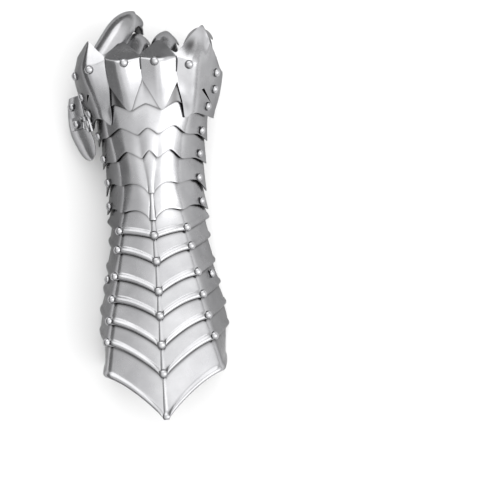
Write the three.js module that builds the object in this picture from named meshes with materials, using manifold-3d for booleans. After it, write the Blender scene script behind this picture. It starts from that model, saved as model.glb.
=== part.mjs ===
// A right-hand steel gauntlet, lying palm down on a flat surface with its fingers half curled.
// Overlapping lames run from a flared cuff over the back of the hand to a knuckle plate with four
// pointed tongues. Every lame is a bent sheet cut from one lofted form, lifted clear of the next one
// towards the elbow, and riveted to it at its sides. Millimetres, +Z up, +Y towards the fingers.
import * as THREE from "three";
import Module from "manifold-3d";

const wasm = await Module();
wasm.setup();

// Driving dimensions
const CUFF_LENGTH = 157; // from the wrist line to the point of the elbow border
const HAND_LENGTH = 127; // from the wrist line to the knuckle rivets
const HALF_WIDTH = 59; // half the width over the knuckles
const HEIGHT = 92; // from the surface it lies on to the ridges over the knuckles
const SHEET = 1.2; // thickness of every steel lame
const CUFF_GAP = 0.65; // clearance between riveted cuff lames
const PIVOT_GAP = 1.4; // clearance between lames that turn on each other
const FIXED_GAP = 1.7; // clearance between the two knuckle plates
const CUFF_OVERLAP = 9; // how far a cuff lame reaches under the next one
const HAND_OVERLAP = 12; // how far a hand lame reaches under the next one
const BEAD_WIDTH = 4.6; // rolled bead along the elbow side of each cuff lame
const BEAD_HEIGHT = 1.5;
const RIVET_HEAD_RADIUS = 3.3;
const RIVET_HEAD_HEIGHT = 2.5;
const SHANK_RADIUS = 1.5;
const TAIL_RADIUS = 2.7;
const TAIL_HEIGHT = 0.9;
const RIVET_CLEARANCE = 0.35; // round a shank, and under a loose head or tail
const LOOSE_SIDES = 6;
const FUSED_SIDES = 6;
const HOLE_SIDES = 6;
const LEATHER = 2.2; // thickness of the straps
const FINGER_STRIP_WIDTH = 9;

const STEEL = { color: 0xc9cacb, metalness: 1, roughness: 0.28 };
const RIVET_STEEL = { color: 0xd6d7d8, metalness: 1, roughness: 0.22 };
const LEATHER_BLACK = { color: 0x2a2624, metalness: 0, roughness: 0.75 };

const gauntlet = new THREE.Group();

// A place along the hand: -1 is the point of the cuff, 0 the wrist line, 1 the knuckle rivets.
const alongHand = (share) => share * (share < 0 ? CUFF_LENGTH : HAND_LENGTH);

// Sections of the form. Widths are shares of HALF_WIDTH and heights shares of HEIGHT: the lower edges
// of the side walls, the corners where the walls meet the back, and the two ridges between them, which
// lie side by side as one keel on the cuff. crown and valley are the bulge and the fold of each panel.
const SECTIONS = [
  { at: -1.0, wallLeft: -0.73, wallRight: 0.8, cornerLeft: -0.8, cornerRight: 0.87, ridgeLeft: 0.03, ridgeRight: 0.05, ridgeZ: 0.99, cornerZ: 0.86, wallZ: 0.0, crown: 0.014, valley: 0 },
  { at: -0.75, wallLeft: -0.768, wallRight: 0.812, cornerLeft: -0.727, cornerRight: 0.8, ridgeLeft: 0.02, ridgeRight: 0.04, ridgeZ: 0.94, cornerZ: 0.82, wallZ: 0.0, crown: 0.014, valley: 0 },
  { at: -0.51, wallLeft: -0.827, wallRight: 0.875, cornerLeft: -0.645, cornerRight: 0.645, ridgeLeft: 0.015, ridgeRight: 0.035, ridgeZ: 0.875, cornerZ: 0.76, wallZ: 0.045, crown: 0.013, valley: 0 },
  { at: -0.255, wallLeft: -0.695, wallRight: 0.754, cornerLeft: -0.525, cornerRight: 0.52, ridgeLeft: 0.01, ridgeRight: 0.03, ridgeZ: 0.8, cornerZ: 0.7, wallZ: 0.12, crown: 0.012, valley: 0 },
  { at: -0.04, wallLeft: -0.598, wallRight: 0.68, cornerLeft: -0.432, cornerRight: 0.415, ridgeLeft: -0.008, ridgeRight: 0.012, ridgeZ: 0.75, cornerZ: 0.665, wallZ: 0.205, crown: 0.012, valley: 0 },
  { at: 0.1, wallLeft: -0.59, wallRight: 0.668, cornerLeft: -0.385, cornerRight: 0.365, ridgeLeft: -0.01, ridgeRight: 0.01, ridgeZ: 0.752, cornerZ: 0.67, wallZ: 0.235, crown: 0.014, valley: 0 },
  { at: 0.236, wallLeft: -0.6, wallRight: 0.68, cornerLeft: -0.373, cornerRight: 0.35, ridgeLeft: -0.026, ridgeRight: 0.03, ridgeZ: 0.775, cornerZ: 0.69, wallZ: 0.26, crown: 0.018, valley: 0 },
  { at: 0.394, wallLeft: -0.635, wallRight: 0.712, cornerLeft: -0.428, cornerRight: 0.403, ridgeLeft: -0.085, ridgeRight: 0.105, ridgeZ: 0.815, cornerZ: 0.715, wallZ: 0.285, crown: 0.018, valley: 0 },
  { at: 0.551, wallLeft: -0.68, wallRight: 0.752, cornerLeft: -0.513, cornerRight: 0.483, ridgeLeft: -0.122, ridgeRight: 0.142, ridgeZ: 0.858, cornerZ: 0.745, wallZ: 0.31, crown: 0.014, valley: 0 },
  { at: 0.685, wallLeft: -0.722, wallRight: 0.815, cornerLeft: -0.575, cornerRight: 0.588, ridgeLeft: -0.185, ridgeRight: 0.205, ridgeZ: 0.9, cornerZ: 0.785, wallZ: 0.335, crown: 0.006, valley: 0 },
  { at: 0.827, wallLeft: -0.838, wallRight: 0.92, cornerLeft: -0.655, cornerRight: 0.63, ridgeLeft: -0.235, ridgeRight: 0.218, ridgeZ: 0.955, cornerZ: 0.85, wallZ: 0.37, crown: 0, valley: -0.022 },
  { at: 0.984, wallLeft: -0.9, wallRight: 0.975, cornerLeft: -0.74, cornerRight: 0.67, ridgeLeft: -0.28, ridgeRight: 0.226, ridgeZ: 1.0, cornerZ: 0.92, wallZ: 0.43, crown: 0, valley: -0.055 },
  { at: 1.157, wallLeft: -0.86, wallRight: 0.93, cornerLeft: -0.69, cornerRight: 0.76, ridgeLeft: -0.25, ridgeRight: 0.22, ridgeZ: 1.035, cornerZ: 0.96, wallZ: 0.52, crown: 0, valley: -0.06 },
];

// The value of one column of a table at a place between its rows, on a smooth curve through them.
function smooth(rows, place, key, placeKey = "at") {
  const last = rows.length - 2;
  let i = 0;
  while (i < last && place > rows[i + 1][placeKey]) i++;
  const slopeAt = (k) => {
    const before = rows[Math.max(k - 1, 0)];
    const after = rows[Math.min(k + 1, rows.length - 1)];
    return (after[key] - before[key]) / (after[placeKey] - before[placeKey]);
  };
  const span = rows[i + 1][placeKey] - rows[i][placeKey];
  const t = THREE.MathUtils.clamp((place - rows[i][placeKey]) / span, 0, 1);
  const from = rows[i][key];
  const to = rows[i + 1][key];
  return (
    from * (1 + 2 * t) * (1 - t) ** 2 +
    slopeAt(i) * span * t * (1 - t) ** 2 +
    to * t * t * (3 - 2 * t) -
    slopeAt(i + 1) * span * t * t * (1 - t)
  );
}

// The value of one column of a table between its rows, on straight lines.
function straight(rows, place, key, placeKey) {
  let i = 0;
  while (i < rows.length - 2 && place > rows[i + 1][placeKey]) i++;
  const t = (place - rows[i][placeKey]) / (rows[i + 1][placeKey] - rows[i][placeKey]);
  return THREE.MathUtils.lerp(rows[i][key], rows[i + 1][key], THREE.MathUtils.clamp(t, 0, 1));
}

// How far across each panel its valley lies.
const VALLEYS = { 1: 0.57, 2: 0.5, 3: 0.47 };

// A point of the form. column counts across it: 0 is the lower edge of the thumb-side wall, 1 its
// corner, 2 and 3 the ridges, 4 the other corner and 5 the lower edge of the other wall.
function form(column, y) {
  const at = y / (y < 0 ? CUFF_LENGTH : HAND_LENGTH);
  const share = (key) => smooth(SECTIONS, at, key);
  const lines = [
    ["wallLeft", "wallZ"],
    ["cornerLeft", "cornerZ"],
    ["ridgeLeft", "ridgeZ"],
    ["ridgeRight", "ridgeZ"],
    ["cornerRight", "cornerZ"],
    ["wallRight", "wallZ"],
  ];
  const panel = THREE.MathUtils.clamp(Math.floor(column), 0, 4);
  const s = column - panel;
  const x = THREE.MathUtils.lerp(share(lines[panel][0]), share(lines[panel + 1][0]), s) * HALF_WIDTH;
  let z = THREE.MathUtils.lerp(share(lines[panel][1]), share(lines[panel + 1][1]), s) * HEIGHT;
  const isWall = panel === 0 || panel === 4;
  if (isWall) {
    const bulge = 0.02 * HALF_WIDTH * 4 * s * (1 - s);
    return new THREE.Vector3(x + (panel ? bulge : -bulge), y, z);
  }
  const crown = panel === 2 ? share("crown") / 3 : share("crown");
  const fold = VALLEYS[panel];
  const depth = s < fold ? s / fold : (1 - s) / (1 - fold);
  z += (crown * 4 * s * (1 - s) + share("valley") * depth) * HEIGHT;
  return new THREE.Vector3(x, y, z);
}

const COLUMN_STEP = 0.01;
const Y_STEP = 0.4;
const MOST_MITRE = 1.5;

// The outward normal of the form, and how much further an offset goes along it at a crease.
function outward(column, y) {
  const here = form(column, y);
  const forward = form(column, y + Y_STEP).sub(form(column, y - Y_STEP));
  const sides = [];
  if (column > COLUMN_STEP) sides.push(here.clone().sub(form(column - COLUMN_STEP, y)));
  if (column < 5 - COLUMN_STEP) sides.push(form(column + COLUMN_STEP, y).sub(here));
  const normals = sides.map((side) => side.cross(forward).normalize());
  const normal = normals.reduce((sum, n) => sum.add(n), new THREE.Vector3()).normalize();
  const mitre = Math.min(1 / normal.dot(normals[0]), MOST_MITRE);
  return { here, normal, mitre };
}

function lifted(column, y, height) {
  const { here, normal, mitre } = outward(column, y);
  return here.addScaledVector(normal, height * mitre);
}

// Solids

function solid(points, triangles) {
  const vertProperties = new Float32Array(points.flatMap((p) => [p.x, p.y, p.z]));
  return new wasm.Manifold(new wasm.Mesh({ numProp: 3, vertProperties, triVerts: new Uint32Array(triangles) }));
}

// A sheet between two grids of points, rows of columns, with the first grid outside.
function sheetSolid(outer, inner) {
  const rows = outer.length;
  const columns = outer[0].length;
  const id = (side, r, c) => (side * rows + r) * columns + c;
  const triangles = [];
  const quad = (a, b, c, d) => triangles.push(a, b, c, a, c, d);
  for (let r = 0; r < rows - 1; r++)
    for (let c = 0; c < columns - 1; c++) {
      quad(id(0, r, c), id(0, r, c + 1), id(0, r + 1, c + 1), id(0, r + 1, c));
      quad(id(1, r, c), id(1, r + 1, c), id(1, r + 1, c + 1), id(1, r, c + 1));
    }
  for (let c = 0; c < columns - 1; c++) {
    quad(id(0, 0, c + 1), id(0, 0, c), id(1, 0, c), id(1, 0, c + 1));
    quad(id(0, rows - 1, c), id(0, rows - 1, c + 1), id(1, rows - 1, c + 1), id(1, rows - 1, c));
  }
  for (let r = 0; r < rows - 1; r++) {
    quad(id(0, r, 0), id(0, r + 1, 0), id(1, r + 1, 0), id(1, r, 0));
    quad(id(0, r + 1, columns - 1), id(0, r, columns - 1), id(1, r, columns - 1), id(1, r + 1, columns - 1));
  }
  return solid([...outer.flat(), ...inner.flat()], triangles);
}

// The inner grid of a sheet whose outer grid is given: each point goes in along the mean of the normals
// round it, and as much further as keeps the faces that meet there at the sheet's thickness.
function underside(outer, thickness) {
  const at = (r, c) => outer[r]?.[c];
  const faceNormal = (p, q, t) => q.clone().sub(p).cross(t.clone().sub(p)).normalize();
  return outer.map((row, r) =>
    row.map((p, c) => {
      const right = at(r, c + 1);
      const ahead = at(r + 1, c);
      const left = at(r, c - 1);
      const behind = at(r - 1, c);
      const faces = [[right, ahead], [ahead, left], [left, behind], [behind, right]]
        .filter(([q, t]) => q && t)
        .map(([q, t]) => faceNormal(p, q, t));
      const normal = faces.reduce((sum, n) => sum.add(n), new THREE.Vector3()).normalize();
      const least = Math.min(...faces.map((n) => n.dot(normal)));
      return p.clone().addScaledVector(normal, -thickness * Math.min(1 / least, MOST_MITRE));
    }),
  );
}

// The solid of a closed three.js geometry, placed by a matrix.
function solidOf(geometry, matrix = new THREE.Matrix4()) {
  const loose = geometry.index ? geometry.toNonIndexed() : geometry;
  const source = loose.getAttribute("position");
  const points = [];
  const triangles = [];
  const known = new Map();
  for (let i = 0; i < source.count; i++) {
    const p = new THREE.Vector3().fromBufferAttribute(source, i);
    const key = [p.x, p.y, p.z].map((v) => Math.round(v * 1e4)).join();
    if (!known.has(key)) {
      known.set(key, points.length);
      points.push(p.applyMatrix4(matrix));
    }
    triangles.push(known.get(key));
  }
  const kept = [];
  for (let i = 0; i < triangles.length; i += 3) {
    const [a, b, c] = triangles.slice(i, i + 3);
    if (a !== b && b !== c && a !== c) kept.push(a, b, c);
  }
  return solid(points, kept);
}

function addMesh(name, body, look) {
  const made = body.getMesh();
  const geometry = new THREE.BufferGeometry();
  const positions = new Float32Array(made.numVert * 3);
  for (let i = 0; i < made.numVert; i++)
    positions.set(made.vertProperties.subarray(i * made.numProp, i * made.numProp + 3), i * 3);
  geometry.setAttribute("position", new THREE.BufferAttribute(positions, 3));
  geometry.setIndex(new THREE.BufferAttribute(made.triVerts, 1));
  geometry.computeVertexNormals();
  const mesh = new THREE.Mesh(geometry, new THREE.MeshStandardMaterial(look));
  mesh.name = name;
  gauntlet.add(mesh);
  return mesh;
}

// A frame whose Z axis is a rivet's axis.
function facing(point, normal) {
  const turn = new THREE.Quaternion().setFromUnitVectors(new THREE.Vector3(0, 0, 1), normal);
  return new THREE.Matrix4().compose(point, turn, new THREE.Vector3(1, 1, 1));
}

// Lathe profiles turn about Y, so they are laid over to turn about Z.
const LAID_OVER = new THREE.Matrix4().makeRotationX(Math.PI / 2);

// A rivet along the Z axis of a frame: a domed head on its seat, a shank, and a hammered tail under
// the sheets it holds. Without a head it starts at the seat, inside the sheet that it is one with.
function rivetSolid(frame, seat, tail, { head = true, flush = false, skirt = 0, sides = LOOSE_SIDES } = {}) {
  const hammered = [
    [0, tail - TAIL_HEIGHT],
    [TAIL_RADIUS, tail - TAIL_HEIGHT],
    [TAIL_RADIUS, tail],
    [SHANK_RADIUS, tail],
  ];
  const filed = [
    [0, tail],
    [SHANK_RADIUS, tail],
  ];
  const below = flush ? filed : hammered;
  const dome = [
    [SHANK_RADIUS, seat - skirt],
    [RIVET_HEAD_RADIUS, seat - skirt],
    [RIVET_HEAD_RADIUS * 0.74, seat + RIVET_HEAD_HEIGHT * 0.75],
    [0, seat + RIVET_HEAD_HEIGHT],
  ];
  const plain = [
    [SHANK_RADIUS, seat],
    [0, seat],
  ];
  const profile = [...below, ...(head ? dome : plain)].map(([r, h]) => new THREE.Vector2(r, h));
  return solidOf(new THREE.LatheGeometry(profile, sides), frame.clone().multiply(LAID_OVER));
}

// The heights between which a solid lies, along the Z axis of a frame and within a radius of it.
function reach(body, frame, radius) {
  const probe = solidOf(new THREE.CylinderGeometry(radius, radius, PROBE, 12), LAID_OVER);
  const cut = body.transform(frame.clone().invert().elements).intersect(probe).boundingBox();
  return { low: cut.min[2], high: cut.max[2] };
}

const PROBE = 24;
const HOLE_RADIUS = SHANK_RADIUS + RIVET_CLEARANCE + 0.25;

const holeSolid = (frame) =>
  solidOf(new THREE.CylinderGeometry(HOLE_RADIUS, HOLE_RADIUS, PROBE, HOLE_SIDES), frame.clone().multiply(LAID_OVER));

// A piece of sheet that is pierced and riveted before it becomes a mesh. body is the plain sheet.
class Piece {
  constructor(name, owner, body, look = STEEL) {
    Object.assign(this, { name, owner, body, look });
    this.holes = [];
    this.joined = [];
    pieces.push(this);
  }

  finish() {
    let made = this.body;
    for (const hole of this.holes) made = made.subtract(hole);
    for (const extra of this.joined) made = made.add(extra);
    addMesh(this.name, made, this.look);
    put(this.owner, this.name);
  }
}

const pieces = [];

// The names of the nodes of each rigid body, in the order in which the bodies hang on each other.
const bodies = {};
const put = (owner, name) => (bodies[owner] ??= []).push(name);

// A rivet of its own through a stack of pieces, the outermost first.
function looseRivet(name, owner, frame, stack, flush = false) {
  const bottom = stack[stack.length - 1].body;
  const seat = reach(stack[0].body, frame, RIVET_HEAD_RADIUS).high + RIVET_CLEARANCE;
  const tail = reach(bottom, frame, TAIL_RADIUS).low - RIVET_CLEARANCE;
  stack.forEach((piece) => piece.holes.push(holeSolid(frame)));
  const body = flush
    ? rivetSolid(frame, seat, reach(bottom, frame, SHANK_RADIUS).low, { flush })
    : rivetSolid(frame, seat, tail);
  addMesh(name, body, RIVET_STEEL);
  put(owner, name);
}

// A rivet that is hammered tight in the outermost piece of its stack, and is one solid with it.
function fusedRivet(frame, stack, head = true) {
  const [top, ...under] = stack;
  const tail = reach(under[under.length - 1].body, frame, TAIL_RADIUS).low - RIVET_CLEARANCE;
  const { low, high } = reach(top.body, frame, SHANK_RADIUS);
  const seat = head ? high - 0.2 : low + 0.6 * (high - low);
  under.forEach((piece) => piece.holes.push(holeSolid(frame)));
  top.joined.push(rivetSolid(frame, seat, tail, { head, skirt: 0.5, sides: FUSED_SIDES }));
}

// Lames of the cuff and the hand

// The lines across a lame, more of them where the form bends.
const CUFF_COLUMNS = [0, 0.5, 1, 1.33, 1.67, 2, 3, 3.33, 3.67, 4, 4.5, 5];
const HAND_COLUMNS = [0, 0.5, 1, 1.26, 1.57, 1.78, 2, 2.5, 3, 3.22, 3.47, 3.75, 4, 4.5, 5];

// A lame's outer surface stands off the form by drop at its finger edge, and rises evenly towards its
// elbow edge. The rise is what clears the lame under it by gap, along the whole of their overlap.
class Lame extends Piece {
  constructor({ name, owner, low, high, drop, columns, rowsAt, under = null, gap = CUFF_GAP }) {
    const rise = (column) => {
      const length = high(column) - low(column);
      if (!under) return drop + (SHEET + gap) / (1 - CUFF_OVERLAP / length);
      const overlap = under.high(column) - low(column);
      const atEdge = under.height(column, low(column)) + SHEET + gap;
      const share = Math.min(overlap / length, 0.75);
      const atEnd = (under.drop + SHEET + gap - drop * share) / (1 - share);
      return Math.max(atEdge, atEnd);
    };
    const height = (column, y) => {
      const t = (y - low(column)) / (high(column) - low(column));
      return THREE.MathUtils.lerp(rise(column), drop, THREE.MathUtils.clamp(t, 0, 1));
    };
    const byColumn = columns.map((column) =>
      rowsAt(low(column), high(column)).map(({ y, bump = 0 }) => [
        lifted(column, y, height(column, y) + bump),
        lifted(column, y, height(column, y) - SHEET),
      ]),
    );
    const grid = (side) => byColumn[0].map((_, r) => byColumn.map((rows) => rows[r][side]));
    super(name, owner, sheetSolid(grid(0), grid(1)));
    Object.assign(this, { low, high, height, drop });
  }
}

const plainRows = (low, high) => [0, 0.35, 0.7, 1].map((t) => ({ y: THREE.MathUtils.lerp(low, high, t) }));

// Rows that raise a rolled bead along the elbow edge.
const beadedRows = (low, high) => [
  { y: low },
  { y: low + 0.5 * BEAD_WIDTH, bump: BEAD_HEIGHT },
  { y: low + BEAD_WIDTH },
  { y: Math.max(high - CUFF_OVERLAP - 1, (low + BEAD_WIDTH + high) / 2) },
  { y: high },
];

// A curve of y over the columns of a lame's edge, from a table of shares of the hand's length.
const edge = (rows) => (column) =>
  alongHand(straight(rows.map(([col, at]) => ({ col, at })), column, "at", "col"));

// Elbow edges of the cuff lames: where they cross the walls' lower edges, the corners and the keel,
// and how far each half bows towards the hand between its rivets.
const CUFF_EDGES = [
  { wall: 0.01, corner: -0.0535, keel: -0.085, bow: 0.006 },
  { wall: -0.092, corner: -0.15, keel: -0.218, bow: 0.012 },
  { wall: -0.224, corner: -0.285, keel: -0.37, bow: 0.015 },
  { wall: -0.339, corner: -0.4, keel: -0.494, bow: 0.018 },
  { wall: -0.448, corner: -0.509, keel: -0.641, bow: 0.021 },
  { wall: -0.559, corner: -0.616, keel: -0.785, bow: 0.024 },
  { wall: -0.735, corner: -0.775, keel: -1.0, bow: 0.03 },
];

const cuffEdge = (row) => (column) => {
  const mirrored = Math.min(column, 5 - column);
  if (mirrored <= 1) return THREE.MathUtils.lerp(alongHand(row.wall), alongHand(row.corner), mirrored);
  const s = Math.min(mirrored, 2) - 1;
  const across = THREE.MathUtils.lerp(row.corner, row.keel, s) + row.bow * 4 * s * (1 - s);
  return across * CUFF_LENGTH;
};

// Elbow edges of the hand lames as pairs of a column and a share of the hand: arches between the
// ridges, with a point on each ridge.
const WRIST_ARCHES = edge([[0, 0.07], [0.5, 0.1], [1, 0.065], [1.4, 0.082], [2, 0.013], [3, 0.013], [3.6, 0.082], [4, 0.065], [4.5, 0.1], [5, 0.07]]);
const HAND_EDGES = [
  WRIST_ARCHES,
  edge([[0, 0.19], [0.55, 0.262], [1, 0.238], [1.4, 0.252], [2, 0.186], [3, 0.186], [3.6, 0.252], [4, 0.238], [4.45, 0.262], [5, 0.19]]),
  edge([[0, 0.365], [0.55, 0.402], [1, 0.392], [1.5, 0.457], [2, 0.4], [2.5, 0.457], [3, 0.4], [3.5, 0.457], [4, 0.392], [4.45, 0.402], [5, 0.365]]),
  edge([[0, 0.51], [0.55, 0.552], [1, 0.55], [1.5, 0.607], [2, 0.548], [2.5, 0.597], [3, 0.548], [3.5, 0.607], [4, 0.55], [4.45, 0.552], [5, 0.51]]),
];
const UNDERPLATE_EDGE = edge([[0, 0.682], [1, 0.7], [1.5, 0.75], [2, 0.7], [2.5, 0.745], [3, 0.7], [3.5, 0.75], [4, 0.7], [5, 0.682]]);
const UNDERPLATE_END = edge([[0, 0.965], [0.5, 0.995], [1, 1.003], [1.5, 1.015], [2, 1.024], [3, 1.024], [3.5, 1.01], [4, 1.0], [4.5, 0.975], [5, 0.94]]);

// The knuckle plate's elbow edge has a long tooth behind each knuckle.
const KNUCKLE_TEETH = edge([[0, 0.62], [0.33, 0.63], [0.67, 0.67], [1, 0.685], [1.26, 0.615], [1.57, 0.885], [2, 0.694], [2.5, 0.908], [3, 0.694], [3.47, 0.885], [3.8, 0.635], [4, 0.685], [5, 0.66]]);

const SUNK = 1.1; // how far a hand lame's hidden edge lies under the form

// The lames from the elbow to the knuckles, each one over the one before it.
const cuffLames = [];
CUFF_EDGES.toReversed().forEach((row, k) => {
  const i = CUFF_EDGES.length - 1 - k;
  const next = i === 0 ? WRIST_ARCHES : cuffEdge(CUFF_EDGES[i - 1]);
  cuffLames[i] = new Lame({
    name: `cuff_lame_${i + 1}`,
    owner: "cuff",
    low: cuffEdge(row),
    high: (column) => next(column) + (i === 0 ? HAND_OVERLAP : CUFF_OVERLAP),
    drop: i === 0 ? -SUNK : 0,
    columns: CUFF_COLUMNS,
    rowsAt: beadedRows,
    under: cuffLames[i + 1],
  });
});

const handLames = [];
HAND_EDGES.forEach((low, i) => {
  const next = HAND_EDGES[i + 1] ?? UNDERPLATE_EDGE;
  handLames[i] = new Lame({
    name: `hand_lame_${i + 1}`,
    owner: `hand_lame_${i + 1}`,
    low,
    high: (column) => next(column) + HAND_OVERLAP,
    drop: -SUNK,
    columns: HAND_COLUMNS,
    rowsAt: plainRows,
    under: handLames[i - 1] ?? cuffLames[0],
    gap: PIVOT_GAP,
  });
});

const UNDERPLATE_LIFT = 2.9;
const KNUCKLE_LIFT = UNDERPLATE_LIFT + SHEET + FIXED_GAP;

// Both knuckle plates stand off the form evenly. The upper one folds down over the fingers into four
// facets, whose finger edge is given by its points: column, x, y and z.
const KNUCKLE_FOLD = edge([[0, 0.972], [0.5, 1.0], [1, 1.015], [1.26, 1.015], [1.57, 1.034], [1.78, 1.03], [2, 1.028], [2.25, 1.03], [2.5, 1.03], [2.75, 1.03], [3, 1.028], [3.22, 1.03], [3.47, 1.024], [3.8, 1.015], [4, 1.01], [4.25, 0.995], [4.6, 0.98], [5, 0.945]]);
const KNUCKLE_TIPS = [
  [0, -57.3, 125.5, 42],
  [0.5, -53.2, 136, 62],
  [1, -42.9, 147.1, 80.5],
  [1.26, -37.4, 140.6, 84],
  [1.57, -30.9, 133.4, 88],
  [1.78, -23.2, 139.4, 81.5],
  [2, -14.8, 145.8, 75],
  [2.25, -8.5, 139.2, 82],
  [2.5, -2.2, 132.6, 89],
  [2.75, 5.4, 139.2, 82],
  [3, 13, 145.8, 75],
  [3.22, 19.6, 139.2, 82],
  [3.47, 26.9, 131.8, 88.5],
  [3.8, 38.6, 146, 79],
  [4, 49.1, 157.1, 68],
  [4.25, 54.2, 141, 74],
  [4.6, 58.4, 130, 60],
  [5, 60.8, 121, 41],
].map(([column, x, y, z]) => ({ column, point: new THREE.Vector3(x, y, z) }));

const knuckleTip = (column) => KNUCKLE_TIPS.find((tip) => tip.column === column).point;

const PLATE_LINE = alongHand(0.925); // a line that the facets of both plates share

function evenPlate({ name, low, fold, lift, columns, edgeAt = null }) {
  const byColumn = columns.map((column) => {
    const from = low(column);
    const to = fold(column);
    const rows = [from, (from + PLATE_LINE) / 2, PLATE_LINE, (PLATE_LINE + to) / 2, to];
    const back = rows.map((y) => lifted(column, y, lift));
    return edgeAt ? [...back, edgeAt(column)] : back;
  });
  const outer = byColumn[0].map((_, r) => byColumn.map((rows) => rows[r]));
  return new Piece(name, "knuckles", sheetSolid(outer, underside(outer, SHEET)));
}

const underplate = evenPlate({
  name: "knuckle_underplate",
  low: UNDERPLATE_EDGE,
  fold: UNDERPLATE_END,
  lift: UNDERPLATE_LIFT,
  columns: HAND_COLUMNS,
});

const knucklePlate = evenPlate({
  name: "knuckle_plate",
  low: KNUCKLE_TEETH,
  fold: KNUCKLE_FOLD,
  lift: KNUCKLE_LIFT,
  columns: KNUCKLE_TIPS.map(({ column }) => column),
  edgeAt: knuckleTip,
});

// Rivets of the cuff, the pivots of the hand and the knuckles

// The frame of a rivet, square to the form at a column and a y.
function rivetFrame(column, y) {
  const { here, normal } = outward(column, y);
  return facing(here, normal);
}

CUFF_EDGES.slice(0, -1).forEach((row, i) => {
  for (const column of [1, 2.5, 4]) {
    const y = cuffEdge(row)(column) + BEAD_WIDTH / 2;
    fusedRivet(rivetFrame(column, y), [cuffLames[i], cuffLames[i + 1]]);
  }
});

// The pivots, one at each side, on which each hand lame turns on the one before it.
const PIVOTS = [
  { at: 0.122, column: 0.25, stack: [handLames[0], cuffLames[0]] },
  { at: 0.275, column: 0.32, stack: [handLames[1], handLames[0]] },
  { at: 0.428, column: 0.355, stack: [handLames[2], handLames[1]] },
  { at: 0.575, column: 0.4, stack: [handLames[3], handLames[2]] },
  { at: 0.728, column: 0.52, stack: [knucklePlate, underplate, handLames[3]] },
];
const pivotAxes = PIVOTS.map(({ at, column, stack }, i) => {
  const y = alongHand(at);
  looseRivet(`pivot_rivet_${i + 1}_left`, stack[0].owner, rivetFrame(column, y), stack);
  looseRivet(`pivot_rivet_${i + 1}_right`, stack[0].owner, rivetFrame(5 - column, y), stack);
  return { child: stack[0].owner, y, z: form(column, y).z };
});

for (const [side, column, at] of [["index", 1.03, 0.978], ["middle", 2.01, 1.0], ["ring", 2.95, 1.0], ["little", 3.92, 0.974]])
  looseRivet(`knuckle_rivet_${side}`, "knuckles", rivetFrame(column, alongHand(at)), [knucklePlate, underplate]);

// Straps

// A strap that hangs inside the walls from side to side, with a flat middle part. depth is how far
// its outer face lies inside the form.
function strap({ name, owner, y, width, columns, depth, floor, half, mid = 0 }) {
  const across = (offset) => (row) => {
    const inForm = (column) => lifted(column, row, -depth - offset);
    const flat = (x) => new THREE.Vector3(mid + x, row, floor + offset);
    const left = columns.map(inForm);
    const right = columns.map((column) => inForm(5 - column)).reverse();
    return [...left, flat(-half), flat(half), ...right].reverse();
  };
  const rows = [y - width / 2, y, y + width / 2];
  return new Piece(name, owner, sheetSolid(rows.map(across(0)), rows.map(across(LEATHER))), LEATHER_BLACK);
}

const CUFF_STRAP_Y = -44.5;
const cuffStrap = strap({ name: "cuff_strap", owner: "cuff", y: CUFF_STRAP_Y, width: 20, columns: [0.56, 0.35, 0.12], depth: 1.9, floor: -0.6, half: 30, mid: 1 });
for (const [side, column] of [["left", 0.36], ["right", 4.64]])
  looseRivet(`strap_rivet_${side}`, "cuff", rivetFrame(column, CUFF_STRAP_Y), [cuffLames[3], cuffStrap]);

const PALM_STRAP_Y = alongHand(0.858);
const palmStrap = strap({ name: "palm_strap", owner: "knuckles", y: PALM_STRAP_Y, width: 12, columns: [0.56, 0.3, 0.08], depth: -0.8, floor: 16, half: 26, mid: 2 });
for (const [side, column] of [["left", 0.38], ["right", 4.68]]) {
  looseRivet(`side_rivet_1_${side}`, "knuckles", rivetFrame(column, alongHand(0.835)), [knucklePlate, underplate, palmStrap]);
}
for (const [side, column, at] of [["left", 0.42, 0.96], ["right", 4.68, 0.935]])
  looseRivet(`side_rivet_2_${side}`, "knuckles", rivetFrame(column, alongHand(at)), [knucklePlate, underplate]);

// Fingers

// Each finger's lames are arched sheets along one path, which leaves the knuckle under its facet, runs
// straight for a while and then curls in. heading turns it towards the little finger.
// radius is the first lame's, span the half angle that it covers, and ends are the distances along the
// path at which the lames end, each with a point. start is where the first lame begins, and skew how
// much later it does so at its thumb side.
const FINGERS = [
  { name: "index", column: 1.14, heading: 29, run: 37, curl: 28, radius: 11.6, span: 70, start: 7, skew: 4, ends: [57, 73, 88], tips: [14, 7, 7] },
  { name: "middle", column: 2.1, heading: 8, run: 33, curl: 36, radius: 11, span: 78, start: 8.5, skew: 0, ends: [44, 67, 90], tips: [11, 7, 7] },
  { name: "ring", column: 2.99, heading: 8, run: 35, curl: 36, radius: 11, span: 78, start: 8.5, skew: 0, ends: [46, 69, 91], tips: [11, 7, 7] },
  { name: "little", column: 3.86, heading: 15, run: 20, curl: 32, radius: 10.4, span: 74, start: 9, skew: -3, ends: [37, 58, 78], tips: [9, 6, 6] },
];
const FINGER_COLUMNS = [-1, -0.7, -0.4, 0, 0.4, 0.7, 1];
const HIDDEN_FINGER_COLUMNS = [-1, -0.5, 0, 0.5, 1];
const RIDGE_SHARE = 0.09; // how far a finger lame's ridge stands above a round arch
const FINGER_GAP = 0.95;
const FACET_CLEARANCE = 2.1;
const LAME_STEP = SHEET + FINGER_GAP;
const FINGER_OVERLAP = 10;
const ROW_STEP = 8;

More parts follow.
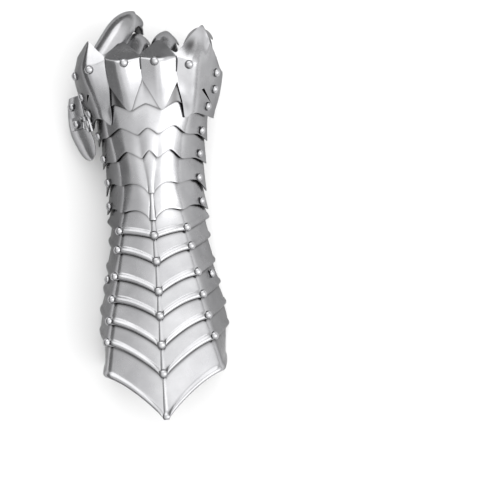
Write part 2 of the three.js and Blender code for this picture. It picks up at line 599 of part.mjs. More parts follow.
function fingerPath(finger) {
  const fold = lifted(finger.column, KNUCKLE_FOLD(finger.column), KNUCKLE_LIFT);
  const tip = knuckleTip(Math.round(finger.column));
  const slope = Math.atan2(fold.z - tip.z, tip.y - fold.y);
  const heading = THREE.MathUtils.degToRad(finger.heading);
  const up = new THREE.Vector3(0, Math.sin(slope), Math.cos(slope));
  const downhill = new THREE.Vector3(0, Math.cos(slope), -Math.sin(slope));
  const across = new THREE.Vector3(1, 0, 0);
  const ahead = downhill.clone().multiplyScalar(Math.cos(heading)).addScaledVector(across, Math.sin(heading));
  const side = across.clone().multiplyScalar(Math.cos(heading)).addScaledVector(downhill, -Math.sin(heading));
  const start = fold.addScaledVector(up, -finger.radius * (1 + RIDGE_SHARE) - SHEET - FACET_CLEARANCE);
  return (distance) => {
    const run = Math.min(distance, finger.run);
    const turn = Math.max(distance - finger.run, 0) / finger.curl;
    const point = start
      .clone()
      .addScaledVector(ahead, run + finger.curl * Math.sin(turn))
      .addScaledVector(up, -finger.curl * (1 - Math.cos(turn)));
    const upThere = up.clone().multiplyScalar(Math.cos(turn)).addScaledVector(ahead, Math.sin(turn));
    return { point, side, up: upThere };
  };
}

// A point over a path: w runs from -1 to 1 across an arch.
function archPoint({ point, side, up }, span, w, radius, ridge) {
  const angle = THREE.MathUtils.degToRad(span) * w;
  const out = radius + ridge * (1 - Math.abs(w)) ** 2;
  return point.clone().addScaledVector(side, out * Math.sin(angle)).addScaledVector(up, out * Math.cos(angle));
}

for (const finger of FINGERS) {
  const path = fingerPath(finger);
  const ridge = finger.radius * RIDGE_SHARE;
  const lames = finger.ends.map((end, i) => {
    const low = i === 0 ? finger.start : finger.ends[i - 1] - FINGER_OVERLAP;
    const radius = finger.radius - i * LAME_STEP;
    const count = Math.ceil((end - low) / ROW_STEP);
    const rows = Array.from({ length: count + 1 }, (_, r) => r / count);
    const sheet = (out) =>
      rows.map((t) =>
        (i === 0 ? FINGER_COLUMNS : HIDDEN_FINGER_COLUMNS).map((w) => {
          const from = i === 0 ? low - finger.skew * w : low;
          const distance = THREE.MathUtils.lerp(from, end + finger.tips[i] * (0.4 - Math.abs(w)), t);
          return archPoint(path(distance), finger.span, w, out, ridge);
        }),
      );
    const lame = new Piece(`${finger.name}_lame_${i + 1}`, "knuckles", sheetSolid(sheet(radius), sheet(radius - SHEET)));
    return Object.assign(lame, { low, radius });
  });

  // A leather strip under the lames, which a flush rivet holds to the knuckle plate and to each lame.
  const half = FINGER_STRIP_WIDTH / 2;
  const under = lames.map(({ radius }) => Math.sqrt((radius - SHEET) ** 2 - (half + 0.3) ** 2) - 0.8);
  const studs = lames.map(({ low }, i) => low + (i === 0 ? 5 : 4.5));
  const levels = [{ at: studs[0] - 5, level: under[0] }];
  for (const i of [1, 2])
    levels.push({ at: lames[i].low - 8, level: under[i - 1] }, { at: lames[i].low - 1.5, level: under[i] });
  levels.push({ at: studs[2] + 5, level: under[2] });
  const count = 12;
  const strip = (drop) =>
    Array.from({ length: count + 1 }, (_, r) => {
      const at = THREE.MathUtils.lerp(levels[0].at, levels[levels.length - 1].at, r / count);
      const { point, side, up } = path(at);
      const height = straight(levels, at, "level", "at") - drop;
      return [-half, half].map((x) => point.clone().addScaledVector(side, x).addScaledVector(up, height));
    });
  const leather = new Piece(`${finger.name}_strip`, "knuckles", sheetSolid(strip(0), strip(LEATHER)), LEATHER_BLACK);
  studs.forEach((at, i) => {
    const { point, up } = path(at);
    const frame = facing(point.clone().addScaledVector(up, under[i]), up);
    fusedRivet(frame, i === 0 ? [knucklePlate, lames[0], leather] : [lames[i], leather], false);
  });
}

// Thumb

// The thumb plate is a bowed leaf beside the hand: the middle of its chord, and half the chord's length.
const THUMB_STATIONS = [
  { y: 53.8, x: -49.3, z: 27, half: 2 },
  { y: 56.5, x: -50, z: 26.8, half: 7 },
  { y: 61.5, x: -51.6, z: 26.4, half: 10.4 },
  { y: 68, x: -53.6, z: 25.6, half: 12.3 },
  { y: 76, x: -56.6, z: 24.6, half: 13 },
  { y: 84, x: -58.9, z: 23.4, half: 12.2 },
  { y: 92, x: -60.2, z: 22.2, half: 11 },
  { y: 100, x: -60.9, z: 20.8, half: 9.6 },
  { y: 107, x: -60.8, z: 19.2, half: 8 },
];
const THUMB_UP = new THREE.Vector3(-0.77, 0, 0.64);
const THUMB_SIDE = new THREE.Vector3(0.64, 0.14, 0.77).normalize();
const THUMB_BOW = 0.3; // the bow of its chord, as a share of half of it

function thumbPoint(y, w, lift = 0) {
  const [x, z, half] = ["x", "z", "half"].map((key) => smooth(THUMB_STATIONS, y, key, "y"));
  return new THREE.Vector3(x, y, z)
    .addScaledVector(THUMB_SIDE, half * w)
    .addScaledVector(THUMB_UP, half * THUMB_BOW * (1 - w * w) + lift);
}

const THUMB_COLUMNS = [-1, -0.6, -0.2, 0.2, 0.6, 1];
const thumbOuter = THUMB_STATIONS.map(({ y }) => THUMB_COLUMNS.map((w) => thumbPoint(y, w)));
const thumbPlate = new Piece("thumb_plate", "thumb", sheetSolid(thumbOuter, underside(thumbOuter, SHEET)));

// The lame over the thumb's tip turns down from under the plate's finger end.
const thumbTipOuter = [
  { middle: [-60.4, 92, 19.2], up: [-0.77, 0.1, 0.63], half: 8.6 },
  { middle: [-60.6, 99, 15.8], up: [-0.74, 0.3, 0.6], half: 8.2 },
  { middle: [-60, 103.2, 11], up: [-0.66, 0.65, 0.37], half: 7.4 },
  { middle: [-59.2, 105.2, 6.2], up: [-0.6, 0.78, 0.18], half: 6 },
  { middle: [-58.6, 105.8, 1.8], up: [-0.6, 0.8, 0.05], half: 2.8 },
].map(({ middle, up, half }) => {
  const out = new THREE.Vector3(...up).normalize();
  const centre = new THREE.Vector3(...middle).addScaledVector(out, -2.2);
  return [-1, -0.5, 0, 0.5, 1].map((w) =>
    centre.clone().addScaledVector(THUMB_SIDE, half * w).addScaledVector(out, half * THUMB_BOW * (1 - w * w)),
  );
});
const thumbTip = new Piece("thumb_tip", "thumb", sheetSolid(thumbTipOuter, underside(thumbTipOuter, SHEET)));

// The butt hinge that carries the thumb. Its axis runs along the side wall, below the hand leaf.
const BARREL_RADIUS = 2.1;
const PIN_RADIUS = 0.9;
const LEAF = 1.3;
const HINGE_LENGTH = 12;
const seatPoint = lifted(0.3, 85, KNUCKLE_LIFT + 0.9);
const hingeOut = outward(0.3, 85).normal;
const hingeAxis = form(0.3, 91).sub(form(0.3, 79)).normalize();
const hingeUp = hingeAxis.clone().cross(hingeOut).normalize();
const barrelCentre = seatPoint.clone().addScaledVector(hingeOut, RIVET_CLEARANCE + BARREL_RADIUS).addScaledVector(hingeUp, -9.5);
const hingeFrame = new THREE.Matrix4().makeBasis(hingeOut, hingeUp, hingeAxis).setPosition(barrelCentre);

const tube = (radius, from, to, sides = 10) =>
  solidOf(
    new THREE.CylinderGeometry(radius, radius, to - from, sides),
    hingeFrame.clone().multiply(new THREE.Matrix4().makeTranslation(0, 0, (from + to) / 2)).multiply(LAID_OVER),
  );
const inHinge = (out, up, along) => new THREE.Vector3(out, up, along).applyMatrix4(hingeFrame);
const OUTER_KNUCKLES = [[-HINGE_LENGTH / 2, -2.2], [2.2, HINGE_LENGTH / 2]];
const INNER_KNUCKLE = [-1.9, 1.9];
const bore = tube(PIN_RADIUS + 0.36, -20, 20, 8);

const handLeafSheet = [-HINGE_LENGTH / 2, HINGE_LENGTH / 2].map((along) =>
  [0.8, 14.5].map((up) => inHinge(LEAF - BARREL_RADIUS, up, along)),
);
const handLeafInner = handLeafSheet.map((row) => row.map((p) => p.clone().addScaledVector(hingeOut, -LEAF)));
let handLeaf = sheetSolid(handLeafSheet, handLeafInner);
handLeaf = handLeaf.volume() < 0 ? sheetSolid(handLeafInner, handLeafSheet) : handLeaf;
handLeaf = OUTER_KNUCKLES.reduce((body, [from, to]) => body.add(tube(BARREL_RADIUS, from, to)), handLeaf);
handLeaf = handLeaf.subtract(tube(BARREL_RADIUS + 0.35, INNER_KNUCKLE[0] - 0.3, INNER_KNUCKLE[1] + 0.3)).subtract(bore);
const hingeHandLeaf = new Piece("hinge_hand_leaf", "knuckles", handLeaf);

thumbPlate.body = thumbPlate.body.subtract(tube(BARREL_RADIUS + LEAF + 0.3, -8, 8));

const leafRows = [-5, 5].map((along) => {
  const over = [-0.25, 0.1, 0.45, 0.8].map((w) => thumbPoint(barrelCentre.y + along, w, 0.8 + LEAF));
  return [...over, inHinge(BARREL_RADIUS - 0.4, -0.6, along)];
});
let thumbLeaf = sheetSolid(leafRows, underside(leafRows, LEAF));
const clearance = OUTER_KNUCKLES.map(([from, to]) => tube(BARREL_RADIUS + 0.35, from - 0.3, to + 0.3));
thumbLeaf = clearance.reduce((body, cut) => body.subtract(cut), thumbLeaf);
thumbLeaf = thumbLeaf.add(tube(BARREL_RADIUS, ...INNER_KNUCKLE)).subtract(bore);
const hingeThumbLeaf = new Piece("hinge_thumb_leaf", "thumb", thumbLeaf);

const pinEnds = [-1, 1].map((end) => {
  const near = (HINGE_LENGTH / 2 + 0.35) * end;
  const far = near + 0.8 * end;
  return tube(1.6, Math.min(near, far), Math.max(near, far), 8);
});
const pin = pinEnds.reduce((body, cap) => body.add(cap), tube(PIN_RADIUS, -7, 7, 8));
new Piece("hinge_pin", "knuckles", pin);

looseRivet("hinge_rivet_hand", "knuckles", facing(seatPoint, hingeOut), [hingeHandLeaf, knucklePlate], true);
const thumbRivet = (y, w) => facing(thumbPoint(y, w), THUMB_UP);
looseRivet("hinge_rivet_thumb", "thumb", thumbRivet(83.3, 0.45), [hingeThumbLeaf, thumbPlate]);
looseRivet("thumb_tip_rivet", "thumb", thumbRivet(98.8, 0.05), [thumbPlate, thumbTip]);

pieces.forEach((piece) => piece.finish());

// The whole lies with its lowest point at height 0 and the middle of its plan at the origin.
const bounds = new THREE.Box3().setFromObject(gauntlet);
const middle = bounds.getCenter(new THREE.Vector3());
gauntlet.position.set(-middle.x, -middle.y, -bounds.min.z);

const hinge = { point: barrelCentre, axis: hingeAxis };

export { bodies, pivotAxes, hinge };
export default gauntlet;
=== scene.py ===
"""A right-hand steel gauntlet that lies palm down with its fingers half curled.

Metres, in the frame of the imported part: +Y towards the fingers, +Z up from the surface it lies on.
"""
import math

import bmesh
import bpy
import numpy as np
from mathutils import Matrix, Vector


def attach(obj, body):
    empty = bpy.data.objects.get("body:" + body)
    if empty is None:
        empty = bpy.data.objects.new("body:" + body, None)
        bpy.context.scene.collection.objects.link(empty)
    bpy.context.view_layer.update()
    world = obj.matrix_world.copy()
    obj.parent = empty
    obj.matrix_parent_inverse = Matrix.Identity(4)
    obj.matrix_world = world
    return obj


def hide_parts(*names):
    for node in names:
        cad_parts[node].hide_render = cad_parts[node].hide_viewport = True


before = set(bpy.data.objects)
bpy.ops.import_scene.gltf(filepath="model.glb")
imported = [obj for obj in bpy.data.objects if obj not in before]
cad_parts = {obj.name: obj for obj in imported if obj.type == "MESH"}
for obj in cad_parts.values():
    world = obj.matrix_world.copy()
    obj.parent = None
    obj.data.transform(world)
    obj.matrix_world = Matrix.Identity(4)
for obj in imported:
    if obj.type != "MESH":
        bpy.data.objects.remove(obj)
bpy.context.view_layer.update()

# Camera
# It looks straight down from high above a point beside the wrist, so that it sees a little more of the
# little-finger side, and it is turned so that the gauntlet leans to the left.
WRIST = Vector((0.002249, -0.007546, 0.0006))  # the wrist line of the form, on the surface
PICTURE_MIDDLE = WRIST + Vector((0.0761, -0.0270, 0.070))
CAMERA_DISTANCE = 1.75
PICTURE_WIDTH = 0.400
SENSOR_WIDTH = 36
LEAN_DEGREES = 3.44
camera_data = bpy.data.cameras.new("camera")
camera_data.sensor_width = SENSOR_WIDTH
camera_data.lens = SENSOR_WIDTH * CAMERA_DISTANCE / PICTURE_WIDTH
camera_data.clip_end = 20
camera = bpy.data.objects.new("camera", camera_data)
camera.location = PICTURE_MIDDLE + Vector((0, 0, CAMERA_DISTANCE))
camera.rotation_euler = (0, 0, math.radians(-LEAN_DEGREES))
bpy.context.collection.objects.link(camera)
bpy.context.scene.camera = camera

# Floor and light
# A white board in a dim room, under a sky that is brightest overhead and towards the little finger. The
# board ends in front of the hand, so that the steep facets mirror the dim room, and two soft boxes, beside
# the little finger and beyond the fingers, draw the bright lines on beads and rivets.
FLOOR_WHITE = (0.84, 0.84, 0.84, 1)
BOARD_SIDE = 0.5
BOARD_BACK = -0.5
BOARD_FRONT = 0.25
floor_mesh = bpy.data.meshes.new("floor")
board_corners = [(-BOARD_SIDE, BOARD_BACK, 0), (BOARD_SIDE, BOARD_BACK, 0), (BOARD_SIDE, BOARD_FRONT, 0),
                 (-BOARD_SIDE, BOARD_FRONT, 0)]
floor_mesh.from_pydata(board_corners, [], [(0, 1, 2, 3)])
floor = bpy.data.objects.new("floor", floor_mesh)
bpy.context.collection.objects.link(floor)
board = bpy.data.materials.new("floor_board")
board.use_nodes = True
board_shader = board.node_tree.nodes["Principled BSDF"]
board_shader.inputs["Base Color"].default_value = FLOOR_WHITE
board_shader.inputs["Roughness"].default_value = 0.8
floor_mesh.materials.append(board)


def soft_box(name, place, aim, size, watts):
    data = bpy.data.lights.new(name, "AREA")
    data.shape = "RECTANGLE"
    data.size, data.size_y = size
    data.energy = watts
    box = bpy.data.objects.new(name, data)
    box.location = place
    box.rotation_euler = (Vector(aim) - Vector(place)).to_track_quat("-Z", "Y").to_euler()
    bpy.context.collection.objects.link(box)


soft_box("box_right", place=(1.6, -0.2, 1.5), aim=(0, 0, 0), size=(1.2, 2.0), watts=11)
soft_box("box_front", place=(-0.2, 1.7, 0.9), aim=(0, 0, 0.05), size=(2.2, 1.3), watts=13)

# the sky's tones, from a right angle to its bright axis up to the axis itself
SKY_AXIS = (0.47, 0.04, 0.88)
SKY_STRENGTH = 2.2
SKY_TONES = ((0.0, 0.13), (0.07, 0.20), (0.16, 0.50), (0.3, 0.42), (0.45, 0.44), (0.62, 0.62), (0.78, 0.82),
             (0.86, 0.72), (0.93, 0.92), (1.0, 0.96))
world = bpy.data.worlds.new("studio")
bpy.context.scene.world = world
world.use_nodes = True
studio = world.node_tree
studio_shader = studio.nodes["Background"]
studio_shader.inputs["Strength"].default_value = SKY_STRENGTH
sky_place = studio.nodes.new("ShaderNodeTexCoord")
sky_facing = studio.nodes.new("ShaderNodeVectorMath")
sky_facing.operation = "DOT_PRODUCT"
sky_facing.inputs[1].default_value = SKY_AXIS
studio.links.new(sky_place.outputs["Generated"], sky_facing.inputs[0])
sky = studio.nodes.new("ShaderNodeValToRGB")
sky_ramp = sky.color_ramp
while len(sky_ramp.elements) < len(SKY_TONES):
    sky_ramp.elements.new(0.5)
for element, (place, tone) in zip(sky_ramp.elements, SKY_TONES):
    element.position = place
    element.color = (tone, tone, tone, 1)
studio.links.new(sky_facing.outputs["Value"], sky.inputs["Fac"])
studio.links.new(sky.outputs["Color"], studio_shader.inputs["Color"])
bpy.context.scene.view_settings.view_transform = "Standard"

# Lames of the cuff
# Seven lames of mild steel, 1.2 mm thick, bent over one stake and hammered to a keel. Each has a
# rolled bead along its elbow edge and lies over the next one towards the elbow, to which three rivets
# hold it. Lengths are in mm from here on, and metres only where a mesh is made.
MM = 0.001
CUFF_LENGTH = 157
HAND_LENGTH = 127
HALF_WIDTH = 59
HEIGHT = 92
SHEET = 1.2
CUFF_GAP = 0.65
CUFF_OVERLAP = 9
HAND_OVERLAP = 12
SUNK = 1.1
BEAD_WIDTH = 4.6  # the part's bead, whose middle carries the rivets
BEAD_ROLL = 5.6  # the bead as it is rolled, with its soft foot
BEAD_HEIGHT = 1.2
WALL_BULGE = 0.02
VALLEYS = (0.57, 0.5, 0.47)  # where the valley of each panel of the back lies across it
MOST_MITRE = 1.5
COLUMN_STEP = 0.01
Y_STEP = 0.4

# at, wall left and right, corner left and right, ridge left and right, heights of ridge, corner and
# wall, and the crown and valley of the panels
SECTIONS = np.array([
    (-1.0, -0.73, 0.8, -0.8, 0.87, 0.03, 0.05, 0.99, 0.86, 0.0, 0.014, 0),
    (-0.75, -0.768, 0.812, -0.727, 0.8, 0.02, 0.04, 0.94, 0.82, 0.0, 0.014, 0),
    (-0.51, -0.827, 0.875, -0.645, 0.645, 0.015, 0.035, 0.875, 0.76, 0.045, 0.013, 0),
    (-0.255, -0.695, 0.754, -0.525, 0.52, 0.01, 0.03, 0.8, 0.7, 0.12, 0.012, 0),
    (-0.04, -0.598, 0.68, -0.432, 0.415, -0.008, 0.012, 0.75, 0.665, 0.205, 0.012, 0),
    (0.1, -0.59, 0.668, -0.385, 0.365, -0.01, 0.01, 0.752, 0.67, 0.235, 0.014, 0),
    (0.236, -0.6, 0.68, -0.373, 0.35, -0.026, 0.03, 0.775, 0.69, 0.26, 0.018, 0),
    (0.394, -0.635, 0.712, -0.428, 0.403, -0.085, 0.105, 0.815, 0.715, 0.285, 0.018, 0),
    (0.551, -0.68, 0.752, -0.513, 0.483, -0.122, 0.142, 0.858, 0.745, 0.31, 0.014, 0),
    (0.685, -0.722, 0.815, -0.575, 0.588, -0.185, 0.205, 0.9, 0.785, 0.335, 0.006, 0),
    (0.827, -0.838, 0.92, -0.655, 0.63, -0.235, 0.218, 0.955, 0.85, 0.37, 0, -0.022),
    (0.984, -0.9, 0.975, -0.74, 0.67, -0.28, 0.226, 1.0, 0.92, 0.43, 0, -0.055),
    (1.157, -0.86, 0.93, -0.69, 0.76, -0.25, 0.22, 1.035, 0.96, 0.52, 0, -0.06),
])
ACROSS = [1, 3, 5, 6, 4, 2]
UPWARD = [9, 8, 7, 7, 8, 9]


def in_frame(points):
    """Points of the form in mm, as metres of the frame."""
    return points * MM + np.array(WRIST)


def smooth_rows(table, at):
    """Rows of a table at any places of its first column, on smooth curves through its own rows."""
    places = table[:, 0]
    row = np.clip(np.searchsorted(places, at, side="left") - 1, 0, len(places) - 2)
    before = np.maximum(np.arange(len(places)) - 1, 0)
    after = np.minimum(np.arange(len(places)) + 1, len(places) - 1)
    slopes = (table[after] - table[before]) / (places[after] - places[before])[:, None]
    span = (places[row + 1] - places[row])[..., None]
    t = np.clip((at - places[row])[..., None] / span, 0, 1)
    return (
        table[row] * (1 + 2 * t) * (1 - t) ** 2
        + slopes[row] * span * t * (1 - t) ** 2
        + table[row + 1] * t * t * (3 - 2 * t)
        - slopes[row + 1] * span * t * t * (1 - t)
    )


def form(column, y):
    """Points of the form in mm. column: 0 lower edge of the thumb-side wall, 1 its corner, 2 and 3
    the ridges, 4 the other corner, 5 the lower edge of the other wall."""
    column, y = np.broadcast_arrays(np.asarray(column, float), np.asarray(y, float))
    values = smooth_rows(SECTIONS, y / np.where(y < 0, CUFF_LENGTH, HAND_LENGTH))
    panel = np.clip(np.floor(column), 0, 4).astype(int)
    s = column - panel
    xs, zs = values[..., ACROSS], values[..., UPWARD]
    pick = lambda table, k: np.take_along_axis(table, k[..., None], -1)[..., 0]
    x = (pick(xs, panel) * (1 - s) + pick(xs, panel + 1) * s) * HALF_WIDTH
    z = (pick(zs, panel) * (1 - s) + pick(zs, panel + 1) * s) * HEIGHT
    bulge = WALL_BULGE * HALF_WIDTH * 4 * s * (1 - s)
    x = x + np.where(panel == 0, -bulge, 0) + np.where(panel == 4, bulge, 0)
    fold = np.select([panel == 1, panel == 2], VALLEYS[:2], VALLEYS[2])
    depth = np.where(s < fold, s / fold, (1 - s) / (1 - fold))
    crown = np.where(panel == 2, values[..., 10] / 3, values[..., 10])
    shape = (crown * 4 * s * (1 - s) + values[..., 11] * depth) * HEIGHT
    z = z + np.where((panel == 0) | (panel == 4), 0, shape)
    return np.stack([x, y, z], -1)


def unit(v):
    return v / np.maximum(np.linalg.norm(v, axis=-1, keepdims=True), 1e-12)


def outward(column, y):
    """The form's outward normal, and how much further an offset goes along it at a crease."""
    column, y = np.broadcast_arrays(np.asarray(column, float), np.asarray(y, float))
    here = form(column, y)
    forward = form(column, y + Y_STEP) - form(column, y - Y_STEP)
    left = unit(np.cross(here - form(column - COLUMN_STEP, y), forward))
    right = unit(np.cross(form(column + COLUMN_STEP, y) - here, forward))
    left = np.where((column > COLUMN_STEP)[..., None], left, right)
    right = np.where((column < 5 - COLUMN_STEP)[..., None], right, left)
    normal = unit(left + right)
    return normal, np.minimum(1 / np.sum(normal * left, -1), MOST_MITRE)


def lifted(column, y, height):
    """Points that stand off the form by a height, measured square to it."""
    normal, mitre = outward(column, y)
    return form(column, y) + normal * (np.asarray(height) * mitre)[..., None]


def polyline(pairs, scale=1.0):
    places, values = zip(*pairs)
    return lambda column: np.interp(column, places, values) * scale


# where the lames' elbow edges cross the walls' feet, the corners and the keel, and how far they bow
CUFF_EDGES = [
    (0.01, -0.0535, -0.085, 0.006),
    (-0.092, -0.15, -0.218, 0.012),
    (-0.224, -0.285, -0.37, 0.015),
    (-0.339, -0.4, -0.494, 0.018),
    (-0.448, -0.509, -0.641, 0.021),
    (-0.559, -0.616, -0.785, 0.024),
    (-0.735, -0.775, -1.0, 0.03),
]


def cuff_edge(row):
    wall, corner, keel, bow = row

    def edge(column):
        mirrored = np.minimum(column, 5 - column)
        s = np.clip(mirrored, 1, 2) - 1
        across = (corner + (keel - corner) * s + bow * 4 * s * (1 - s)) * CUFF_LENGTH
        foot = wall * (HAND_LENGTH if wall > 0 else CUFF_LENGTH)
        side = foot + (corner * CUFF_LENGTH - foot) * np.minimum(mirrored, 1)
        return np.where(mirrored <= 1, side, across)

    return edge


def scallops(pairs, depth):
    """An edge of pointed arches: straight from point to point, and bowed towards the fingers."""
    places = np.array([p for p, _ in pairs])
    values = np.array([v for _, v in pairs])

    def edge(column):
        column = np.asarray(column, float)
        k = np.clip(np.searchsorted(places, column, side="right") - 1, 0, len(places) - 2)
        t = (column - places[k]) / (places[k + 1] - places[k])
        bow = depth * np.abs(values[k + 1] - values[k]) * 4 * t * (1 - t)
        return (values[k] * (1 - t) + values[k + 1] * t + bow) * HAND_LENGTH

    return edge


WRIST_ARCHES = scallops(
    [(0, 0.07), (0.5, 0.1), (1, 0.065), (1.4, 0.082), (2, 0.013), (3, 0.013), (3.6, 0.082), (4, 0.065),
     (4.5, 0.1), (5, 0.07)], 0.28)


def fine_columns(marks, width=130.0, step=1.5):
    """The columns of a sheet, close together, with every marked one among them."""
    fine = []
    for a, b in zip(marks, marks[1:]):
        count = max(2, round(abs(b - a) / 5 * width / step))
        fine.extend(a + (b - a) * k / count for k in range(count))
    return np.array(fine + [marks[-1]])


def rounded(grid, passes, axis=1):
    """Draws the creases of a grid of points into small bends, and leaves its border where it is."""
    grid = np.moveaxis(grid, axis, 0).copy()
    for _ in range(passes):
        grid[1:-1] = grid[1:-1] * 0.5 + (grid[:-2] + grid[2:]) * 0.25
    return np.moveaxis(grid, 0, axis)


def grid_normals(grid):
    along = np.gradient(grid, axis=0)
    across = np.gradient(grid, axis=1)
    return unit(np.cross(across, along))


# painted shade on every sheet's inner face, under the plates
INSIDE_SHADE = 0.7


def sheet_mesh(name, outer, inner, bevel=0.3, painted_shade=None):
    """A closed sheet between two grids of points in mm, with rounded edges, as an object in metres.

    The last argument is how much painted shade darkens each point of the outer grid; the inner face gets a
    fixed share of it."""
    rows, columns = outer.shape[:2]
    points = in_frame(np.concatenate([outer.reshape(-1, 3), inner.reshape(-1, 3)]))
    faces = []
    at = lambda side, r, c: side * rows * columns + r * columns + c
    for r in range(rows - 1):
        for c in range(columns - 1):
            faces.append((at(0, r, c), at(0, r, c + 1), at(0, r + 1, c + 1), at(0, r + 1, c)))
            faces.append((at(1, r, c), at(1, r + 1, c), at(1, r + 1, c + 1), at(1, r, c + 1)))
    for c in range(columns - 1):
        faces.append((at(0, 0, c + 1), at(0, 0, c), at(1, 0, c), at(1, 0, c + 1)))
        faces.append((at(0, rows - 1, c), at(0, rows - 1, c + 1), at(1, rows - 1, c + 1), at(1, rows - 1, c)))
    for r in range(rows - 1):
        faces.append((at(0, r, 0), at(0, r + 1, 0), at(1, r + 1, 0), at(1, r, 0)))
        end = columns - 1
        faces.append((at(0, r + 1, end), at(0, r, end), at(1, r, end), at(1, r + 1, end)))
    mesh = bpy.data.meshes.new(name)
    mesh.from_pydata(points.tolist(), [], faces)
    # painted shade, kept as a point attribute that the steel mixes into its colour
    if painted_shade is not None:
        shade_layer = mesh.attributes.new("painted_shade", "FLOAT", "POINT")
        inside = np.full(rows * columns, INSIDE_SHADE)
        shade_layer.data.foreach_set("value", np.concatenate([painted_shade.ravel(), inside]))
    made = bpy.data.objects.new(name, mesh)
    bpy.context.collection.objects.link(made)
    if bevel:
        round_edges(made, bevel)
    smooth(made)
    return made


def round_edges(made, width, degrees=55):
    shape = bmesh.new()
    shape.from_mesh(made.data)
    folded = [edge for edge in shape.edges if len(edge.link_faces) == 2]
    sharp = [edge for edge in folded if edge.calc_face_angle() > math.radians(degrees)]
    bmesh.ops.bevel(shape, geom=sharp, offset=width * MM, segments=2, profile=0.5, affect="EDGES",
                    clamp_overlap=True)
    shape.to_mesh(made.data)
    shape.free()


def smooth(made, degrees=42):
    made.data.shade_smooth()
    made.data.set_sharp_from_angle(angle=math.radians(degrees))


def noise_node(tree, coords, scale, detail=4, stretch=(1, 1, 1), turn=(0, 0, 0)):
    place = tree.nodes.new("ShaderNodeMapping")
    place.inputs["Scale"].default_value = stretch
    place.inputs["Rotation"].default_value = turn
    tree.links.new(coords, place.inputs["Vector"])
    noise = tree.nodes.new("ShaderNodeTexNoise")
    noise.inputs["Scale"].default_value = scale
    noise.inputs["Detail"].default_value = detail
    tree.links.new(place.outputs["Vector"], noise.inputs["Vector"])
    return noise.outputs["Fac"]


EDGE_TINT = (0.42, 0.42, 0.42, 1)  # steel seen at a low angle stays grey
# the near-black that painted shade mixes into the steel's colour
PAINTED_SHADE_COLOUR = (0.025, 0.024, 0.023, 1)
GRAIN = (1, 1, 12)
SCRATCH_DEPTH = 0.0001
DENT_DEPTH = 0.0022
STEEL_DARK = (0.36, 0.36, 0.37)
STEEL_LIGHT = (0.46, 0.46, 0.47)


def steel(name, rough, scratch, dents):
    """Hand-polished mild steel: cloudy roughness, fine polishing scratches, shallow hammer dents, and
    painted shade mixed into its colour where a mesh's shade attribute says so."""
    material = bpy.data.materials.new(name)
    material.use_nodes = True
    tree = material.node_tree
    shader = tree.nodes["Principled BSDF"]
    shader.inputs["Metallic"].default_value = 1.0
    shader.inputs["Specular Tint"].default_value = EDGE_TINT
    coords = tree.nodes.new("ShaderNodeTexCoord").outputs["Object"]
    cloud = noise_node(tree, coords, 38, 5)
    tone = tree.nodes.new("ShaderNodeValToRGB")
    tone.color_ramp.elements[0].position = 0.3
    tone.color_ramp.elements[0].color = STEEL_DARK + (1,)
    tone.color_ramp.elements[1].position = 0.7
    tone.color_ramp.elements[1].color = STEEL_LIGHT + (1,)
    tree.links.new(cloud, tone.inputs["Fac"])
    # painted shade: the mesh's attribute mixes the near-black into the steel's colour
    shade_layer = tree.nodes.new("ShaderNodeAttribute")
    shade_layer.attribute_name = "painted_shade"
    shade_mix = tree.nodes.new("ShaderNodeMix")
    shade_mix.data_type = "RGBA"
    shade_mix.inputs["B"].default_value = PAINTED_SHADE_COLOUR
    tree.links.new(shade_layer.outputs["Fac"], shade_mix.inputs["Factor"])
    tree.links.new(tone.outputs["Color"], shade_mix.inputs["A"])
    tree.links.new(shade_mix.outputs["Result"], shader.inputs["Base Color"])
    haze = noise_node(tree, coords, 90, 6)
    spread = tree.nodes.new("ShaderNodeMapRange")
    spread.inputs["From Min"].default_value = 0.3
    spread.inputs["From Max"].default_value = 0.7
    spread.inputs["To Min"].default_value = rough[0]
    spread.inputs["To Max"].default_value = rough[1]
    tree.links.new(haze, spread.inputs["Value"])
    tree.links.new(spread.outputs["Result"], shader.inputs["Roughness"])
    lines = noise_node(tree, coords, 900, 2, stretch=GRAIN, turn=(0.2, 0.1, 0.5))
    fine = tree.nodes.new("ShaderNodeBump")
    fine.inputs["Strength"].default_value = scratch
    fine.inputs["Distance"].default_value = SCRATCH_DEPTH
    tree.links.new(lines, fine.inputs["Height"])
    hammer = noise_node(tree, coords, 45, 1)
    broad = tree.nodes.new("ShaderNodeBump")
    broad.inputs["Strength"].default_value = dents
    broad.inputs["Distance"].default_value = DENT_DEPTH
    tree.links.new(hammer, broad.inputs["Height"])
    tree.links.new(fine.outputs["Normal"], broad.inputs["Normal"])
    tree.links.new(broad.outputs["Normal"], shader.inputs["Normal"])
    return material


plate_steel = steel("plate_steel", rough=(0.18, 0.30), scratch=0.12, dents=0.25)

CUFF_MARKS = [0, 0.5, 1, 1.5, 2, 3, 3.5, 4, 4.5, 5]
MOST_COVERED = 0.75  # the largest share of a lame that counts as lying over the one under it
LAME_ROWS = np.linspace(0, 1, 21)
BEAD_ROWS = np.linspace(0, 1, 15)
# how much painted shade darkens the walls: the thumb's along its length, and the other one
THUMB_WALL_SHADE = polyline([(-CUFF_LENGTH, 0.12), (-60, 0.2), (0, 0.48)])
OTHER_WALL_SHADE = 0.16
# painted shade where the next lame covers a sheet
OVERLAP_SHADE = 0.92


def lame_height(low, high, drop, under, gap, columns):
    """How far a lame's outer face stands off the form, as in the part: even along each column."""
    length = high(columns) - low(columns)
    if under is None:
        rise = drop + (SHEET + gap) / (1 - CUFF_OVERLAP / length)
    else:
        overlap = under["high"](columns) - low(columns)
        at_edge = under["height"](columns, low(columns)) + SHEET + gap
        share = np.minimum(overlap / length, MOST_COVERED)
        rise = np.maximum(at_edge, (under["drop"] + SHEET + gap - drop * share) / (1 - share))
    return rise


